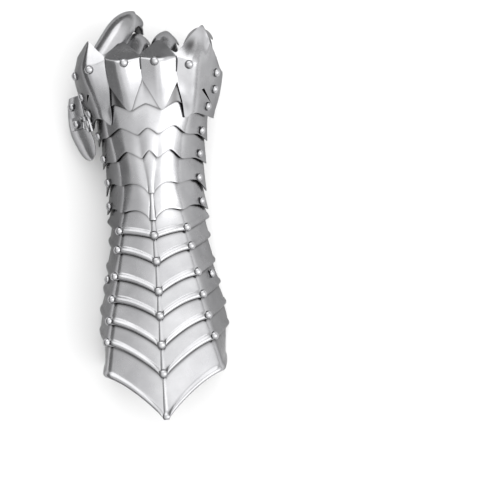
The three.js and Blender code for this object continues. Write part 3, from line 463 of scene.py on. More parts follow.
def wall_shade(columns, y):
    """Painted shade on the walls, which are darker than the back, the thumb's side more so near the hand."""
    thumb_side = np.clip((1.03 - columns) / 0.04, 0, 1)
    other_side = np.clip((columns - 4) / 0.08, 0, 1)
    return THUMB_WALL_SHADE(y) * thumb_side + OTHER_WALL_SHADE * other_side


def shade_by_edge(outer, line, width=1.2):
    """Painted shade where the next lame covers a sheet, fading away from that lame's edge within about a
    width.
    """
    spread = np.gradient(outer[outer.shape[0] // 2, :, 0])  # how far apart the columns lie
    slope = np.gradient(line) / np.where(np.abs(spread) < 0.2, 0.2, spread)
    away = (line - outer[..., 1]) / np.sqrt(1 + slope ** 2)
    return OVERLAP_SHADE * np.exp(-(np.clip(away, 0, None) / width) ** 1.5)


def lame(name, low, high, drop, under, gap, marks, cover, bead=False):
    """A lame as a sheet between its elbow edge and its hidden edge, and what the next one needs of it."""
    columns = fine_columns(marks)
    risen = lame_height(low, high, drop, under, gap, columns)
    rise = lambda c: np.interp(c, columns, risen)
    height = lambda c, y: rise(c) + (drop - rise(c)) * np.clip((y - low(c)) / (high(c) - low(c)), 0, 1)
    start, end = low(columns), high(columns)
    if bead:
        ys = [start + BEAD_ROLL * t for t in BEAD_ROWS]
        bumps = [BEAD_HEIGHT * math.sin(math.pi * t ** 0.8) for t in BEAD_ROWS]
        ys += [start + BEAD_ROLL + (end - start - BEAD_ROLL) * t for t in LAME_ROWS[1:]]
        bumps += [0] * (len(LAME_ROWS) - 1)
    else:
        ys = [start + (end - start) * t for t in LAME_ROWS]
        bumps = [0] * len(LAME_ROWS)
    outer = np.stack([lifted(columns, y, height(columns, y) + bump) for y, bump in zip(ys, bumps)])
    inner = np.stack([lifted(columns, y, height(columns, y) - SHEET) for y in ys])
    # painted shade: along the next lame's edge, and on the walls
    painted_shade = np.maximum(shade_by_edge(outer, cover(columns)), wall_shade(columns, outer[..., 1]))
    made = sheet_mesh(name, rounded(outer, 2), rounded(inner, 2), painted_shade=painted_shade)
    return made, {"low": low, "high": high, "drop": drop, "height": height}


cuff_shapes = {}
cuff_under = None
for i in range(len(CUFF_EDGES) - 1, -1, -1):
    low = cuff_edge(CUFF_EDGES[i])
    following = WRIST_ARCHES if i == 0 else cuff_edge(CUFF_EDGES[i - 1])
    reach = HAND_OVERLAP if i == 0 else CUFF_OVERLAP
    high = lambda column, following=following, reach=reach: following(column) + reach
    drop = -SUNK if i == 0 else 0
    cuff_piece, cuff_under = lame(f"steel_cuff_lame_{i + 1}", low, high, drop, cuff_under, CUFF_GAP,
                                  CUFF_MARKS, following, bead=True)
    cuff_shapes[i] = cuff_under
    cuff_piece.data.materials.append(plate_steel)
    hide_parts(f"cuff_lame_{i + 1}")
    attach(cuff_piece, "cuff")

# Lames of the hand
# Four narrower lames of the same steel over the wrist and the back of the hand. Their elbow edges are
# cut in arches with a point on each ridge, and each turns on one rivet at either side.
PIVOT_GAP = 1.4
HAND_MARKS = [0, 0.5, 1, 1.26, 1.57, 1.78, 2, 2.5, 3, 3.22, 3.47, 3.75, 4, 4.5, 5]
HAND_EDGES = [
    WRIST_ARCHES,
    scallops([(0, 0.19), (0.55, 0.262), (1, 0.238), (1.4, 0.252), (2, 0.186), (3, 0.186), (3.6, 0.252),
              (4, 0.238), (4.45, 0.262), (5, 0.19)], 0.28),
    scallops([(0, 0.365), (0.55, 0.402), (1, 0.392), (1.5, 0.457), (2, 0.4), (2.5, 0.457), (3, 0.4),
              (3.5, 0.457), (4, 0.392), (4.45, 0.402), (5, 0.365)], 0.06),
    scallops([(0, 0.51), (0.55, 0.552), (1, 0.55), (1.5, 0.607), (2, 0.548), (2.5, 0.597), (3, 0.548),
              (3.5, 0.607), (4, 0.55), (4.45, 0.552), (5, 0.51)], 0.06),
]
UNDERPLATE_EDGE = scallops([(0, 0.682), (1, 0.7), (1.5, 0.75), (2, 0.7), (2.5, 0.745), (3, 0.7), (3.5, 0.75),
                            (4, 0.7), (5, 0.682)], 0.05)
hand_under = cuff_shapes[0]
for i, low in enumerate(HAND_EDGES):
    following = HAND_EDGES[i + 1] if i < 3 else UNDERPLATE_EDGE
    high = lambda column, following=following: following(column) + HAND_OVERLAP
    hand_piece, hand_under = lame(f"steel_hand_lame_{i + 1}", low, high, -SUNK, hand_under, PIVOT_GAP,
                                  HAND_MARKS, following)
    hand_piece.data.materials.append(plate_steel)
    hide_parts(f"hand_lame_{i + 1}")
    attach(hand_piece, f"hand_lame_{i + 1}")

# Knuckle plates
# Two plates riveted together over the knuckles. The upper one is folded down in front into four
# pointed facets, one over each finger, and its elbow edge is cut into a long tooth behind each facet.
FIXED_GAP = 1.7
UNDERPLATE_LIFT = 2.9
KNUCKLE_LIFT = UNDERPLATE_LIFT + SHEET + FIXED_GAP
UNDERPLATE_END = polyline([(0, 0.965), (0.5, 0.995), (1, 1.003), (1.5, 1.015), (2, 1.024), (3, 1.024),
                           (3.5, 1.01), (4, 1.0), (4.5, 0.975), (5, 0.94)], HAND_LENGTH)
KNUCKLE_TEETH = polyline([(0, 0.62), (0.33, 0.63), (0.67, 0.67), (1, 0.685), (1.26, 0.615), (1.57, 0.885),
                          (2, 0.694), (2.5, 0.908), (3, 0.694), (3.47, 0.885), (3.8, 0.635), (4, 0.685),
                          (5, 0.66)], HAND_LENGTH)
KNUCKLE_FOLD = polyline([(0, 0.972), (0.5, 1.0), (1, 1.015), (1.26, 1.015), (1.57, 1.034), (1.78, 1.03),
                         (2, 1.028), (2.25, 1.03), (2.5, 1.03), (2.75, 1.03), (3, 1.028), (3.22, 1.03),
                         (3.47, 1.024), (3.8, 1.015), (4, 1.01), (4.25, 0.995), (4.6, 0.98), (5, 0.945)],
                        HAND_LENGTH)
# column, then x, y and z of the facets' edge in mm
KNUCKLE_TIPS = np.array([
    (0, -57.3, 125.5, 42), (0.5, -53.2, 136, 62), (1, -42.9, 147.1, 80.5), (1.26, -37.4, 140.6, 84),
    (1.57, -30.9, 133.4, 88), (1.78, -23.2, 139.4, 81.5), (2, -14.8, 145.8, 75), (2.25, -8.5, 139.2, 82),
    (2.5, -2.2, 132.6, 89), (2.75, 5.4, 139.2, 82), (3, 13, 145.8, 75), (3.22, 19.6, 139.2, 82),
    (3.47, 26.9, 131.8, 88.5), (3.8, 38.6, 146, 79), (4, 49.1, 157.1, 68), (4.25, 54.2, 141, 74),
    (4.6, 58.4, 130, 60), (5, 60.8, 121, 41),
])
KNUCKLE_MARKS = [0, 0.33, 0.5, 0.67, 1, 1.26, 1.57, 1.78, 2, 2.25, 2.5, 2.75, 3, 3.22, 3.47, 3.8, 4, 4.25,
                 4.6, 5]
KNUCKLE_ROWS = np.linspace(0, 1, 33)
FACET_ROWS = np.linspace(0, 1, 15)[1:]
# painted shade in the underplate's notches beside the index and the little finger: column, spread, darkness
NOTCH_SHADE = ((1.7, 0.3, 0.8), (3.42, 0.28, 0.75))
# how far the fold dips to each finger's ridge, in mm, which makes the facets kites
FOLD_DIP = polyline([(0, 0), (0.5, 0), (1.1, 2.6), (1.57, 0), (2.05, 2.8), (2.5, 0), (3, 2.8), (3.47, 0),
                     (3.9, 2.6), (4.6, 0), (5, 0)])
# the two outer teeth are hammered down where they pass the underplate's edge: it starts some mm before
# that edge and is complete after a run
HAMMERED_COLUMNS = (1.3, 3.74)
HAMMERED_SPREAD = 0.2
HAMMERED_DROP = 2.2
HAMMERED_START = 3
HAMMERED_RUN = 6
# each facet is hollowed a little, that of the little finger the most: x, y, radius and depth in mm
FACET_HOLLOWS = ((41, 139, 7.5, 2.0), (13, 137.5, 6, 0.5), (-15, 137.5, 6, 0.5), (-40, 137, 6, 0.4))
# painted shade in the deepest hollow, that of the little finger: x, y, radius and darkness
HOLLOW_SHADE = (39, 139, 6.5, 0.85)
# a dart is cut in either wall: a wedge from its wide end to its point, and its width in mm
DARTS = (((46.3, 103.8), (52.2, 92.8), 2.4), ((-45.2, 104.2), (-48.2, 97.4), 2.4))
DART_BOTTOM = 20
DART_TOP = 120


def hump(places, middle, spread):
    """1 at the middle, fading to 0 on both sides of it."""
    return np.exp(-((places - middle) / spread) ** 2)


def spot(grid, x, y, radius):
    """1 where a grid passes a point seen from above, fading to 0 around it."""
    return np.exp(-((grid[..., 0] - x) ** 2 + (grid[..., 1] - y) ** 2) / radius ** 2)


def finished_mesh(thing):
    """The mesh that the modifiers of an object make."""
    graph = bpy.context.evaluated_depsgraph_get()
    return bpy.data.meshes.new_from_object(thing.evaluated_get(graph))


def under_face(outer, thickness):
    """The inner grid of a sheet whose outer grid is given."""
    return outer - grid_normals(outer) * thickness


knuckle_columns = fine_columns(KNUCKLE_MARKS, width=150, step=1.0)
plate_low = UNDERPLATE_EDGE(knuckle_columns)
plate_end = UNDERPLATE_END(knuckle_columns)
underplate_outer = np.stack([
    lifted(knuckle_columns, plate_low + (plate_end - plate_low) * t, UNDERPLATE_LIFT)
    for t in KNUCKLE_ROWS
])
underplate_outer = rounded(underplate_outer, 3)
# painted shade on the underplate: in its notches, on its walls, and beside the knuckle plate's teeth
scale = sum(dark * hump(knuckle_columns, at, spread) for at, spread, dark in NOTCH_SHADE)
scale = np.maximum(scale, wall_shade(knuckle_columns, underplate_outer[..., 1]))
overlap_shade = shade_by_edge(underplate_outer, KNUCKLE_TEETH(knuckle_columns), width=1.3)
underplate_shade = np.maximum(overlap_shade, scale)
underplate = sheet_mesh("steel_knuckle_underplate", underplate_outer, under_face(underplate_outer, SHEET),
                        painted_shade=underplate_shade)
underplate.data.materials.append(plate_steel)
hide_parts("knuckle_underplate")
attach(underplate, "knuckles")

knuckle_low = KNUCKLE_TEETH(knuckle_columns)
knuckle_fold = KNUCKLE_FOLD(knuckle_columns) - FOLD_DIP(knuckle_columns)
tips = np.stack([np.interp(knuckle_columns, KNUCKLE_TIPS[:, 0], KNUCKLE_TIPS[:, k]) for k in (1, 2, 3)], -1)
hammered = HAMMERED_DROP * sum(hump(knuckle_columns, at, HAMMERED_SPREAD) for at in HAMMERED_COLUMNS)
knuckle_ys = knuckle_low + (knuckle_fold - knuckle_low) * KNUCKLE_ROWS[:, None]
tooth_drop = hammered * np.clip((plate_low + HAMMERED_START - knuckle_ys) / HAMMERED_RUN, 0, 1)
knuckle_back = np.stack([
    lifted(knuckle_columns, y, KNUCKLE_LIFT - drop) for y, drop in zip(knuckle_ys, tooth_drop)
])
knuckle_facets = np.stack([knuckle_back[-1] * (1 - t) + tips * t for t in FACET_ROWS])
knuckle_outer = np.concatenate([knuckle_back, knuckle_facets])
knuckle_outer = rounded(knuckle_outer, 3)
knuckle_outer = rounded(knuckle_outer, 3, axis=0)
for x, y, radius, deep in FACET_HOLLOWS:
    hollow = deep * spot(knuckle_outer, x, y, radius)
    knuckle_outer = knuckle_outer - grid_normals(knuckle_outer) * hollow[..., None]
# painted shade on the knuckle plate: on its walls and in the little finger's hollow
*hollow_place, hollow_dark = HOLLOW_SHADE
knuckle_shade = np.maximum(wall_shade(knuckle_columns, knuckle_outer[..., 1]),
                           hollow_dark * spot(knuckle_outer, *hollow_place))
knuckle_plate = sheet_mesh("steel_knuckle_plate", knuckle_outer, under_face(knuckle_outer, SHEET),
                           painted_shade=knuckle_shade)
for start, end, width in DARTS:
    across = unit(np.array([end[1] - start[1], start[0] - end[0]])) * width / 2
    wedge = [np.subtract(start, across), np.add(start, across), np.array(end)]
    corners = [tuple(in_frame(np.array([*corner, z]))) for z in (DART_BOTTOM, DART_TOP) for corner in wedge]
    prism = bpy.data.meshes.new("dart")
    prism.from_pydata(corners, [], [(0, 2, 1), (3, 4, 5), (0, 1, 4, 3), (1, 2, 5, 4), (2, 0, 3, 5)])
    dart = bpy.data.objects.new("dart", prism)
    bpy.context.collection.objects.link(dart)
    cut = knuckle_plate.modifiers.new("dart", "BOOLEAN")
    cut.object = dart
    cut.solver = "EXACT"
    carved = finished_mesh(knuckle_plate)
    knuckle_plate.modifiers.clear()
    knuckle_plate.data = carved
    bpy.data.objects.remove(dart)
knuckle_plate.data.materials.clear()
knuckle_plate.data.materials.append(plate_steel)
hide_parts("knuckle_plate")
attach(knuckle_plate, "knuckles")

# Finger lames and their leather strips
# Three arched lames to a finger, each with a ridge and a point, and each tucked under the one behind it.
# A strip of black leather, riveted under the knuckle plate and under each lame, carries them.
# A finger leaves a column of the fold, turned by its heading, runs straight and then curls round a
# radius. Its lames cover a span to either side, and start and end at these distances along it; skew is
# how much later the first one starts at its thumb side, and tips how long the points are.
FINGERS = [
    dict(name="index", column=1.14, heading=29, run=37, curl=28, radius=11.6, span=70, start=7, skew=4,
         ends=(57, 73, 88), tips=(14, 7, 7)),
    dict(name="middle", column=2.1, heading=8, run=33, curl=36, radius=11, span=78, start=8.5, skew=0,
         ends=(44, 67, 90), tips=(11, 7, 7)),
    dict(name="ring", column=2.99, heading=8, run=35, curl=36, radius=11, span=78, start=8.5, skew=0,
         ends=(46, 69, 91), tips=(11, 7, 7)),
    dict(name="little", column=3.86, heading=15, run=20, curl=32, radius=10.4, span=74, start=9, skew=-3,
         ends=(37, 58, 78), tips=(9, 6, 6)),
]
RIDGE_SHARE = 0.09
# the finger lames are darkened a fifth of the way towards the near-black all over
FINGER_DARKENING = 0.2
FACET_CLEARANCE = 2.1
FINGER_GAP = 0.95
LAME_STEP = SHEET + FINGER_GAP
FINGER_OVERLAP = 10
POINT_SHARE = 0.4
STRIP_WIDTH = 9
LEATHER = 2.2
STRIP_SIDE_GAP = 0.3
STRIP_TOP_GAP = 0.8
STRIP_END = 5
STUD_INSETS = (5, 4.5, 4.5)


def finger_path(finger):
    """A function that gives the point, the sideways and the outward direction at a distance along a
    finger: straight ahead from under the fold for its run, then round its curl."""
    fold = lifted(finger["column"], KNUCKLE_FOLD(finger["column"]), KNUCKLE_LIFT)
    tip = KNUCKLE_TIPS[np.argmin(np.abs(KNUCKLE_TIPS[:, 0] - round(finger["column"]))), 1:]
    slope = math.atan2(fold[2] - tip[2], tip[1] - fold[1])
    heading = math.radians(finger["heading"])
    up = np.array([0, math.sin(slope), math.cos(slope)])
    downhill = np.array([0, math.cos(slope), -math.sin(slope)])
    across = np.array([1.0, 0, 0])
    ahead = downhill * math.cos(heading) + across * math.sin(heading)
    side = across * math.cos(heading) - downhill * math.sin(heading)
    start = fold - up * (finger["radius"] * (1 + RIDGE_SHARE) + SHEET + FACET_CLEARANCE)

    def path(distance):
        run = np.minimum(distance, finger["run"])[..., None]
        turn = (np.maximum(distance - finger["run"], 0) / finger["curl"])[..., None]
        forward = run + finger["curl"] * np.sin(turn)
        point = start + ahead * forward - up * finger["curl"] * (1 - np.cos(turn))
        return point, side, up * np.cos(turn) + ahead * np.sin(turn)

    return path


strip_leather = bpy.data.materials.new("strap_leather")
strip_leather.use_nodes = True
hide = strip_leather.node_tree
hide_shader = hide.nodes["Principled BSDF"]
hide_coords = hide.nodes.new("ShaderNodeTexCoord").outputs["Object"]
hide_tone = hide.nodes.new("ShaderNodeValToRGB")
hide_tone.color_ramp.elements[0].color = (0.012, 0.010, 0.009, 1)
hide_tone.color_ramp.elements[1].color = (0.045, 0.036, 0.030, 1)
hide.links.new(noise_node(hide, hide_coords, 120, 6), hide_tone.inputs["Fac"])
hide.links.new(hide_tone.outputs["Color"], hide_shader.inputs["Base Color"])
hide_wear = hide.nodes.new("ShaderNodeMapRange")
hide_wear.inputs["To Min"].default_value = 0.42
hide_wear.inputs["To Max"].default_value = 0.72
hide.links.new(noise_node(hide, hide_coords, 260, 3), hide_wear.inputs["Value"])
hide.links.new(hide_wear.outputs["Result"], hide_shader.inputs["Roughness"])
hide_grain = hide.nodes.new("ShaderNodeTexVoronoi")
hide_grain.inputs["Scale"].default_value = 1100
hide.links.new(hide_coords, hide_grain.inputs["Vector"])
hide_bump = hide.nodes.new("ShaderNodeBump")
hide_bump.inputs["Strength"].default_value = 0.35
hide_bump.inputs["Distance"].default_value = 0.0004
hide.links.new(hide_grain.outputs["Distance"], hide_bump.inputs["Height"])
hide.links.new(hide_bump.outputs["Normal"], hide_shader.inputs["Normal"])

for finger in FINGERS:
    path = finger_path(finger)
    ridge = finger["radius"] * RIDGE_SHARE
    radii, lows = [], []
    for i, end in enumerate(finger["ends"]):
        low = finger["start"] if i == 0 else finger["ends"][i - 1] - FINGER_OVERLAP
        radius = finger["radius"] - i * LAME_STEP
        radii.append(radius)
        lows.append(low)
        w = np.linspace(-1, 1, 33)[None, :]
        t = np.linspace(0, 1, 25)[:, None]
        begin = low - (finger["skew"] * w if i == 0 else 0 * w)
        distance = begin + (end + finger["tips"][i] * (POINT_SHARE - np.abs(w)) - begin) * t
        angle = np.radians(finger["span"]) * w + 0 * t
        point, side, up = path(distance)

        def arch(size):
            out = (size + ridge * (1 - np.abs(w)) ** 2 + 0 * t)[..., None]
            return point + side * out * np.sin(angle)[..., None] + up * out * np.cos(angle)[..., None]

        piece = sheet_mesh(f"steel_{finger['name']}_lame_{i + 1}", rounded(arch(radius), 1),
                           rounded(arch(radius - SHEET), 1), painted_shade=FINGER_DARKENING + 0 * angle)
        piece.data.materials.append(plate_steel)
        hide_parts(f"{finger['name']}_lame_{i + 1}")
        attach(piece, "knuckles")
    half = STRIP_WIDTH / 2
    # the strip lies under each lame, and steps down before the next one
    under = [math.sqrt((r - SHEET) ** 2 - (half + STRIP_SIDE_GAP) ** 2) - STRIP_TOP_GAP for r in radii]
    studs = [low + inset for low, inset in zip(lows, STUD_INSETS)]
    levels = [(studs[0] - STRIP_END, under[0])]
    for i in (1, 2):
        levels += [(lows[i] - 8, under[i - 1]), (lows[i] - 1.5, under[i])]
    levels.append((studs[2] + STRIP_END, under[2]))
    distance = np.linspace(levels[0][0], levels[-1][0], 60)
    level = np.interp(distance, *zip(*levels))
    point, side, up = path(distance)
    edges = np.linspace(-half, half, 7)[None, :, None]
    strip_top = point[:, None] + side * edges + (up * level[:, None])[:, None]
    strip_bottom = strip_top - up[:, None] * LEATHER
    strip = sheet_mesh(f"leather_{finger['name']}_strip", strip_top, strip_bottom, bevel=0.5)
    strip.data.materials.append(strip_leather)
    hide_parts(f"{finger['name']}_strip")
    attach(strip, "knuckles")

# Straps across the wrist end of the cuff and across the palm
# Bands of the same leather, 20 mm and 12 mm wide, that run inside the walls from side to side. A rivet
# at either end holds each, and the middle of each lies flat.
def strap(name, node, body, y, width, columns, depth, flat_z, flat_half, flat_middle):
    """The columns are where it lies on the walls, at a depth under the form, and the rest is its flat."""
    rows = y + np.linspace(-width / 2, width / 2, 9)
    steps = [6] * (len(columns) - 1) + [12, 24, 12] + [6] * (len(columns) - 1)

    def across(offset):
        made = []
        for row in rows:
            left = [lifted(c, row, -depth - offset) for c in columns]
            right = [lifted(5 - c, row, -depth - offset) for c in reversed(columns)]
            flat = [np.array([flat_middle + s * flat_half, row, flat_z + offset]) for s in (-1, 1)]
            corners = np.array(left + flat + right)[::-1]
            line = []
            for a, b, count in zip(corners, corners[1:], steps):
                line += [a + (b - a) * k / count for k in range(count)]
            made.append(line + [corners[-1]])
        return np.array(made)

    piece = sheet_mesh(name, rounded(across(0), 1), rounded(across(LEATHER), 1), bevel=0.5)
    piece.data.materials.append(strip_leather)
    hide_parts(node)
    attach(piece, body)


CUFF_STRAP_Y = -44.5
PALM_STRAP_Y = 0.858 * HAND_LENGTH
strap("leather_cuff_strap", "cuff_strap", "cuff", CUFF_STRAP_Y, width=20, columns=[0.56, 0.35, 0.12],
      depth=1.9, flat_z=-0.6, flat_half=30, flat_middle=1)
strap("leather_palm_strap", "palm_strap", "knuckles", PALM_STRAP_Y, width=12, columns=[0.56, 0.3, 0.08],
      depth=-0.8, flat_z=16, flat_half=26, flat_middle=2)

# Thumb plate and tip
# A bowed leaf of steel beside the hand, pointed towards the wrist, with a small lame riveted under
# its other end that turns down over the thumb's tip.

# y, then x, z and half the width of the thumb plate in mm
THUMB_STATIONS = np.array([
    (53.8, -49.3, 27, 2), (56.5, -50, 26.8, 7), (61.5, -51.6, 26.4, 10.4), (68, -53.6, 25.6, 12.3),
    (76, -56.6, 24.6, 13), (84, -58.9, 23.4, 12.2), (92, -60.2, 22.2, 11), (100, -60.9, 20.8, 9.6),
    (107, -60.8, 19.2, 8),
])
THUMB_UP = np.array([-0.77, 0, 0.64])
THUMB_SIDE = unit(np.array([0.64, 0.14, 0.77]))
THUMB_BOW = 0.3
TIP_SUNK = 2.2


def thumb_points(ys, ws):
    """Points of the thumb plate's outer face, at each y and each share of its half width."""
    rows = smooth_rows(THUMB_STATIONS, ys)
    x, z, half = rows[:, 1, None, None], rows[:, 2, None, None], rows[:, 3, None, None]
    w = ws[None, :, None]
    middle = np.concatenate([x, 0 * x + rows[:, 0, None, None], z], -1)
    return middle + THUMB_SIDE * half * w + THUMB_UP * (half * THUMB_BOW * (1 - w * w))


thumb_ys = np.linspace(THUMB_STATIONS[0, 0], THUMB_STATIONS[-1, 0], 45)
thumb_outer = thumb_points(thumb_ys, np.linspace(-1, 1, 25))
thumb_plate = sheet_mesh("steel_thumb_plate", thumb_outer, under_face(thumb_outer, SHEET))
# the middle, the outward direction and half the width of the tip's lame
TIP_STATIONS = [
    ((-60.4, 92, 19.2), (-0.77, 0.1, 0.63), 8.6),
    ((-60.6, 99, 15.8), (-0.74, 0.3, 0.6), 8.2),
    ((-60, 103.2, 11), (-0.66, 0.65, 0.37), 7.4),
    ((-59.2, 105.2, 6.2), (-0.6, 0.78, 0.18), 6),
    ((-58.6, 105.8, 1.8), (-0.6, 0.8, 0.05), 2.8),
]
tip_table = np.array([(k, *middle, *up, half) for k, (middle, up, half) in enumerate(TIP_STATIONS)], float)
tip_rows = smooth_rows(tip_table, np.linspace(0, 4, 29))
tip_out = unit(tip_rows[:, 4:7])[:, None, :]
tip_w = np.linspace(-1, 1, 19)[None, :, None]
tip_half = tip_rows[:, 7, None, None]
tip_outer = tip_rows[:, None, 1:4] - tip_out * TIP_SUNK + THUMB_SIDE * tip_half * tip_w
tip_outer = tip_outer + tip_out * tip_half * THUMB_BOW * (1 - tip_w ** 2)
thumb_tip = sheet_mesh("steel_thumb_tip", tip_outer, under_face(tip_outer, SHEET))
for piece, node in ((thumb_plate, "thumb_plate"), (thumb_tip, "thumb_tip")):
    piece.data.materials.append(plate_steel)
    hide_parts(node)
    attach(piece, "thumb")

# Butt hinge of the thumb
# One leaf stands up under the knuckle plate's wall, the other is bent over the thumb plate. Their rolled
# knuckles turn on a steel pin. The part's own leaves and pin stay, and get the plates' steel.
for node in ("hinge_hand_leaf", "hinge_thumb_leaf", "hinge_pin"):
    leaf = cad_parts[node]
    for slot in leaf.material_slots:
        slot.material = plate_steel

# Rivets
# Round-headed steel rivets with heads 7 mm wide. Those of the cuff sit on the beads, at the corners
# and on the keel; the others hold the lames, the plates, the straps and the hinge. Sizes in metres.
HEAD_RADIUS = 0.0036
HEAD_HEIGHT = 0.0030
PART_HEAD_HEIGHT = 0.0025
SHANK_RADIUS = 0.0015
TAIL_RADIUS = 0.0027
TAIL_HEIGHT = 0.0009
BEAD_SEAT = 0.6  # mm from the lame's outer face to the foot of the head
BEAD_GRIP = 0.0055
rivet_steel = steel("rivet_steel", rough=(0.2, 0.28), scratch=0.06, dents=0.05)


def rivet_tree():
    """A round head, a shank and a hammered tail on every point, along the point's own axis."""
    tree = bpy.data.node_groups.new("rivets", "GeometryNodeTree")
    new_input = lambda label, kind: tree.interface.new_socket(label, in_out="INPUT", socket_type=kind)
    new_input("Points", "NodeSocketGeometry")
    for label, value in (("Head radius", HEAD_RADIUS), ("Head height", HEAD_HEIGHT),
                         ("Shank radius", SHANK_RADIUS), ("Tail radius", TAIL_RADIUS),
                         ("Tail height", TAIL_HEIGHT)):
        new_input(label, "NodeSocketFloat").default_value = value
    new_input("Steel", "NodeSocketMaterial")
    tree.interface.new_socket("Rivets", in_out="OUTPUT", socket_type="NodeSocketGeometry")
    add = tree.nodes.new
    link = tree.links.new
    given = add("NodeGroupInput").outputs
    result = add("NodeGroupOutput").inputs

    def calculated(operation, first, second):
        sum_node = add("ShaderNodeMath")
        sum_node.operation = operation
        for socket, value in zip(sum_node.inputs, (first, second)):
            if isinstance(value, float):
                socket.default_value = value
            else:
                link(value, socket)
        return sum_node.outputs[0]

    axis = add("GeometryNodeInputNamedAttribute")
    axis.data_type = "FLOAT_VECTOR"
    axis.inputs["Name"].default_value = "axis"
    grip = add("GeometryNodeInputNamedAttribute")
    grip.data_type = "FLOAT"
    grip.inputs["Name"].default_value = "grip"
    turn = add("FunctionNodeAlignRotationToVector")
    turn.axis = "Z"
    link(axis.outputs["Attribute"], turn.inputs["Vector"])

    ball = add("GeometryNodeMeshUVSphere")
    ball.inputs["Segments"].default_value = 24
    ball.inputs["Rings"].default_value = 14
    link(given["Head radius"], ball.inputs["Radius"])
    ratio = calculated("DIVIDE", given["Head height"], given["Head radius"])
    place = add("GeometryNodeInputPosition")
    parts = add("ShaderNodeSeparateXYZ")
    link(place.outputs[0], parts.inputs[0])
    above = calculated("MAXIMUM", parts.outputs["Z"], 0.0)
    dome_place = add("ShaderNodeCombineXYZ")
    link(parts.outputs["X"], dome_place.inputs["X"])
    link(parts.outputs["Y"], dome_place.inputs["Y"])
    link(calculated("MULTIPLY", above, ratio), dome_place.inputs["Z"])
    dome = add("GeometryNodeSetPosition")
    link(ball.outputs["Mesh"], dome.inputs["Geometry"])
    link(dome_place.outputs[0], dome.inputs["Position"])

    joined = add("GeometryNodeJoinGeometry")

    def placed(geometry, scale=None, shifted=False):
        source = given["Points"]
        if shifted:
            down = add("ShaderNodeVectorMath")
            down.operation = "SCALE"
            link(axis.outputs["Attribute"], down.inputs[0])
            link(calculated("MULTIPLY", grip.outputs["Attribute"], -1.0), down.inputs["Scale"])
            move = add("GeometryNodeSetPosition")
            link(source, move.inputs["Geometry"])
            link(down.outputs[0], move.inputs["Offset"])
            source = move.outputs[0]
        there = add("GeometryNodeInstanceOnPoints")
        link(source, there.inputs["Points"])
        link(geometry, there.inputs["Instance"])
        link(turn.outputs[0], there.inputs["Rotation"])
        if scale:
            link(scale, there.inputs["Scale"])
        link(there.outputs[0], joined.inputs[0])

    placed(dome.outputs[0])

    shank = add("GeometryNodeMeshCylinder")
    shank.inputs["Vertices"].default_value = 16
    shank.inputs["Depth"].default_value = 1.0
    link(given["Shank radius"], shank.inputs["Radius"])
    sunk = add("GeometryNodeTransform")
    sunk.inputs["Translation"].default_value = (0, 0, -0.5)
    link(shank.outputs["Mesh"], sunk.inputs["Geometry"])
    long = add("ShaderNodeCombineXYZ")
    long.inputs["X"].default_value = 1.0
    long.inputs["Y"].default_value = 1.0
    link(grip.outputs["Attribute"], long.inputs["Z"])
    placed(sunk.outputs[0], long.outputs[0])

    tail = add("GeometryNodeMeshCylinder")
    tail.inputs["Vertices"].default_value = 20
    link(given["Tail radius"], tail.inputs["Radius"])
    link(given["Tail height"], tail.inputs["Depth"])
    placed(tail.outputs["Mesh"], shifted=True)

    real = add("GeometryNodeRealizeInstances")
    link(joined.outputs[0], real.inputs[0])
    dressed = add("GeometryNodeSetMaterial")
    link(real.outputs[0], dressed.inputs["Geometry"])
    link(given["Steel"], dressed.inputs["Material"])
    link(dressed.outputs[0], result[0])
    return tree


rivets = rivet_tree()


def rivet_piece(name, body, seats, nodes=()):
    """One mesh for the rivets of a body. seats are (seat point in metres, axis, grip in metres)."""
    cloud = bpy.data.meshes.new(name + "_points")
    cloud.from_pydata([tuple(p) for p, _, _ in seats], [], [])
    axes = cloud.attributes.new("axis", "FLOAT_VECTOR", "POINT")
    axes.data.foreach_set("vector", [v for _, a, _ in seats for v in a])
    grips = cloud.attributes.new("grip", "FLOAT", "POINT")
    grips.data.foreach_set("value", [float(g) for _, _, g in seats])
    holder = bpy.data.objects.new(name + "_points", cloud)
    bpy.context.collection.objects.link(holder)
    maker = holder.modifiers.new("rivets", "NODES")
    maker.node_group = rivets
    for item in rivets.interface.items_tree:
        if item.name == "Steel" and item.in_out == "INPUT":
            maker[item.identifier] = rivet_steel
    made = finished_mesh(holder)
    bpy.data.objects.remove(holder)
    made.name = name
    piece = bpy.data.objects.new(name, made)
    bpy.context.collection.objects.link(piece)
    shape = bmesh.new()
    shape.from_mesh(made)
    bmesh.ops.remove_doubles(shape, verts=shape.verts, dist=1e-6)
    shape.to_mesh(made)
    shape.free()
    smooth(piece, 50)
    if nodes:
        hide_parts(*nodes)
    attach(piece, body)


# the rivets on the cuff's beads
bead_seats = []
for i, row in enumerate(CUFF_EDGES[:-1]):
    for column in (1, 2.5, 4):
        y = float(cuff_edge(row)(np.array(column)) + BEAD_WIDTH / 2)
        normal, _ = outward(column, y)
        top = float(cuff_shapes[i]["height"](np.array(column), np.array(y)))
        seat = in_frame(form(column, y) + normal * (top + BEAD_SEAT))
        bead_seats.append((seat, normal, BEAD_GRIP))
rivet_piece("bead_rivets", "cuff", bead_seats)


def axis_seat(node, axis, middle):
    """The seat, axis and grip of a rivet of the part, whose axis and one point on it are given."""
    vertices = np.array([v.co[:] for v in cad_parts[node].data.vertices])
    along = (vertices - middle) @ axis
    seat = along.max() - PART_HEAD_HEIGHT
    return middle + axis * seat, axis, seat - along.min() - TAIL_HEIGHT / 2


def loose_seat(node, column, y):
    """The same for a rivet that stands square to the form at a column and a y."""
    normal, _ = outward(column, y)
    return axis_seat(node, normal, in_frame(form(column, y)))


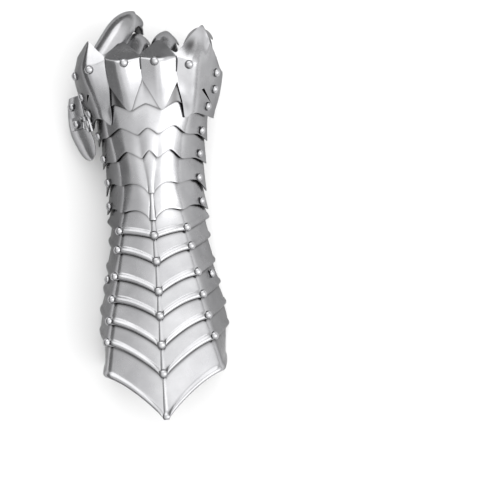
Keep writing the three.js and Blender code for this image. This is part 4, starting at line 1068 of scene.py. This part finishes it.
# where each pair of pivots sits, as a share of the hand's length and a column, and its outer body
PIVOTS = [(0.122, 0.25, "hand_lame_1"), (0.275, 0.32, "hand_lame_2"), (0.428, 0.355, "hand_lame_3"),
          (0.575, 0.4, "hand_lame_4"), (0.728, 0.52, "knuckles")]
knuckle_nodes, knuckle_seats = [], []
for i, (at, column, body) in enumerate(PIVOTS):
    nodes = [f"pivot_rivet_{i + 1}_left", f"pivot_rivet_{i + 1}_right"]
    seats = [loose_seat(node, c, at * HAND_LENGTH) for node, c in zip(nodes, (column, 5 - column))]
    if body == "knuckles":
        knuckle_nodes += nodes
        knuckle_seats += seats
    else:
        rivet_piece(f"{body}_rivets", body, seats, nodes)
PLATE_RIVETS = (
    ("knuckle_rivet_index", 1.03, 0.978), ("knuckle_rivet_middle", 2.01, 1.0),
    ("knuckle_rivet_ring", 2.95, 1.0), ("knuckle_rivet_little", 3.92, 0.974),
    ("side_rivet_1_left", 0.38, 0.835), ("side_rivet_1_right", 4.68, 0.835),
    ("side_rivet_2_left", 0.42, 0.96), ("side_rivet_2_right", 4.68, 0.935),
)
for name, column, at in PLATE_RIVETS:
    knuckle_nodes.append(name)
    knuckle_seats.append(loose_seat(name, column, at * HAND_LENGTH))
rivet_piece("knuckle_rivets", "knuckles", knuckle_seats, knuckle_nodes)
strap_nodes = ["strap_rivet_left", "strap_rivet_right"]
rivet_piece("strap_rivets", "cuff",
            [loose_seat(n, c, CUFF_STRAP_Y) for n, c in zip(strap_nodes, (0.36, 4.64))], strap_nodes)


def thumb_rivet(node, y, w):
    """The same for a rivet of the thumb plate, at a y and a share of the plate's half width."""
    axis = unit(THUMB_UP)
    point = in_frame(thumb_points(np.array([y]), np.array([w]))[0, 0])
    return axis_seat(node, axis, point)


THUMB_RIVETS = (("hinge_rivet_thumb", 83.3, 0.45), ("thumb_tip_rivet", 98.8, 0.05))
rivet_piece("thumb_rivets", "thumb", [thumb_rivet(*row) for row in THUMB_RIVETS],
            [row[0] for row in THUMB_RIVETS])
HINGE_COLUMN = 0.3
HINGE_Y = 85
hinge_normal, _ = outward(HINGE_COLUMN, HINGE_Y)
hinge_point = in_frame(lifted(HINGE_COLUMN, HINGE_Y, KNUCKLE_LIFT))
rivet_piece("hinge_rivets", "knuckles", [axis_seat("hinge_rivet_hand", hinge_normal, hinge_point)],
            ["hinge_rivet_hand"])
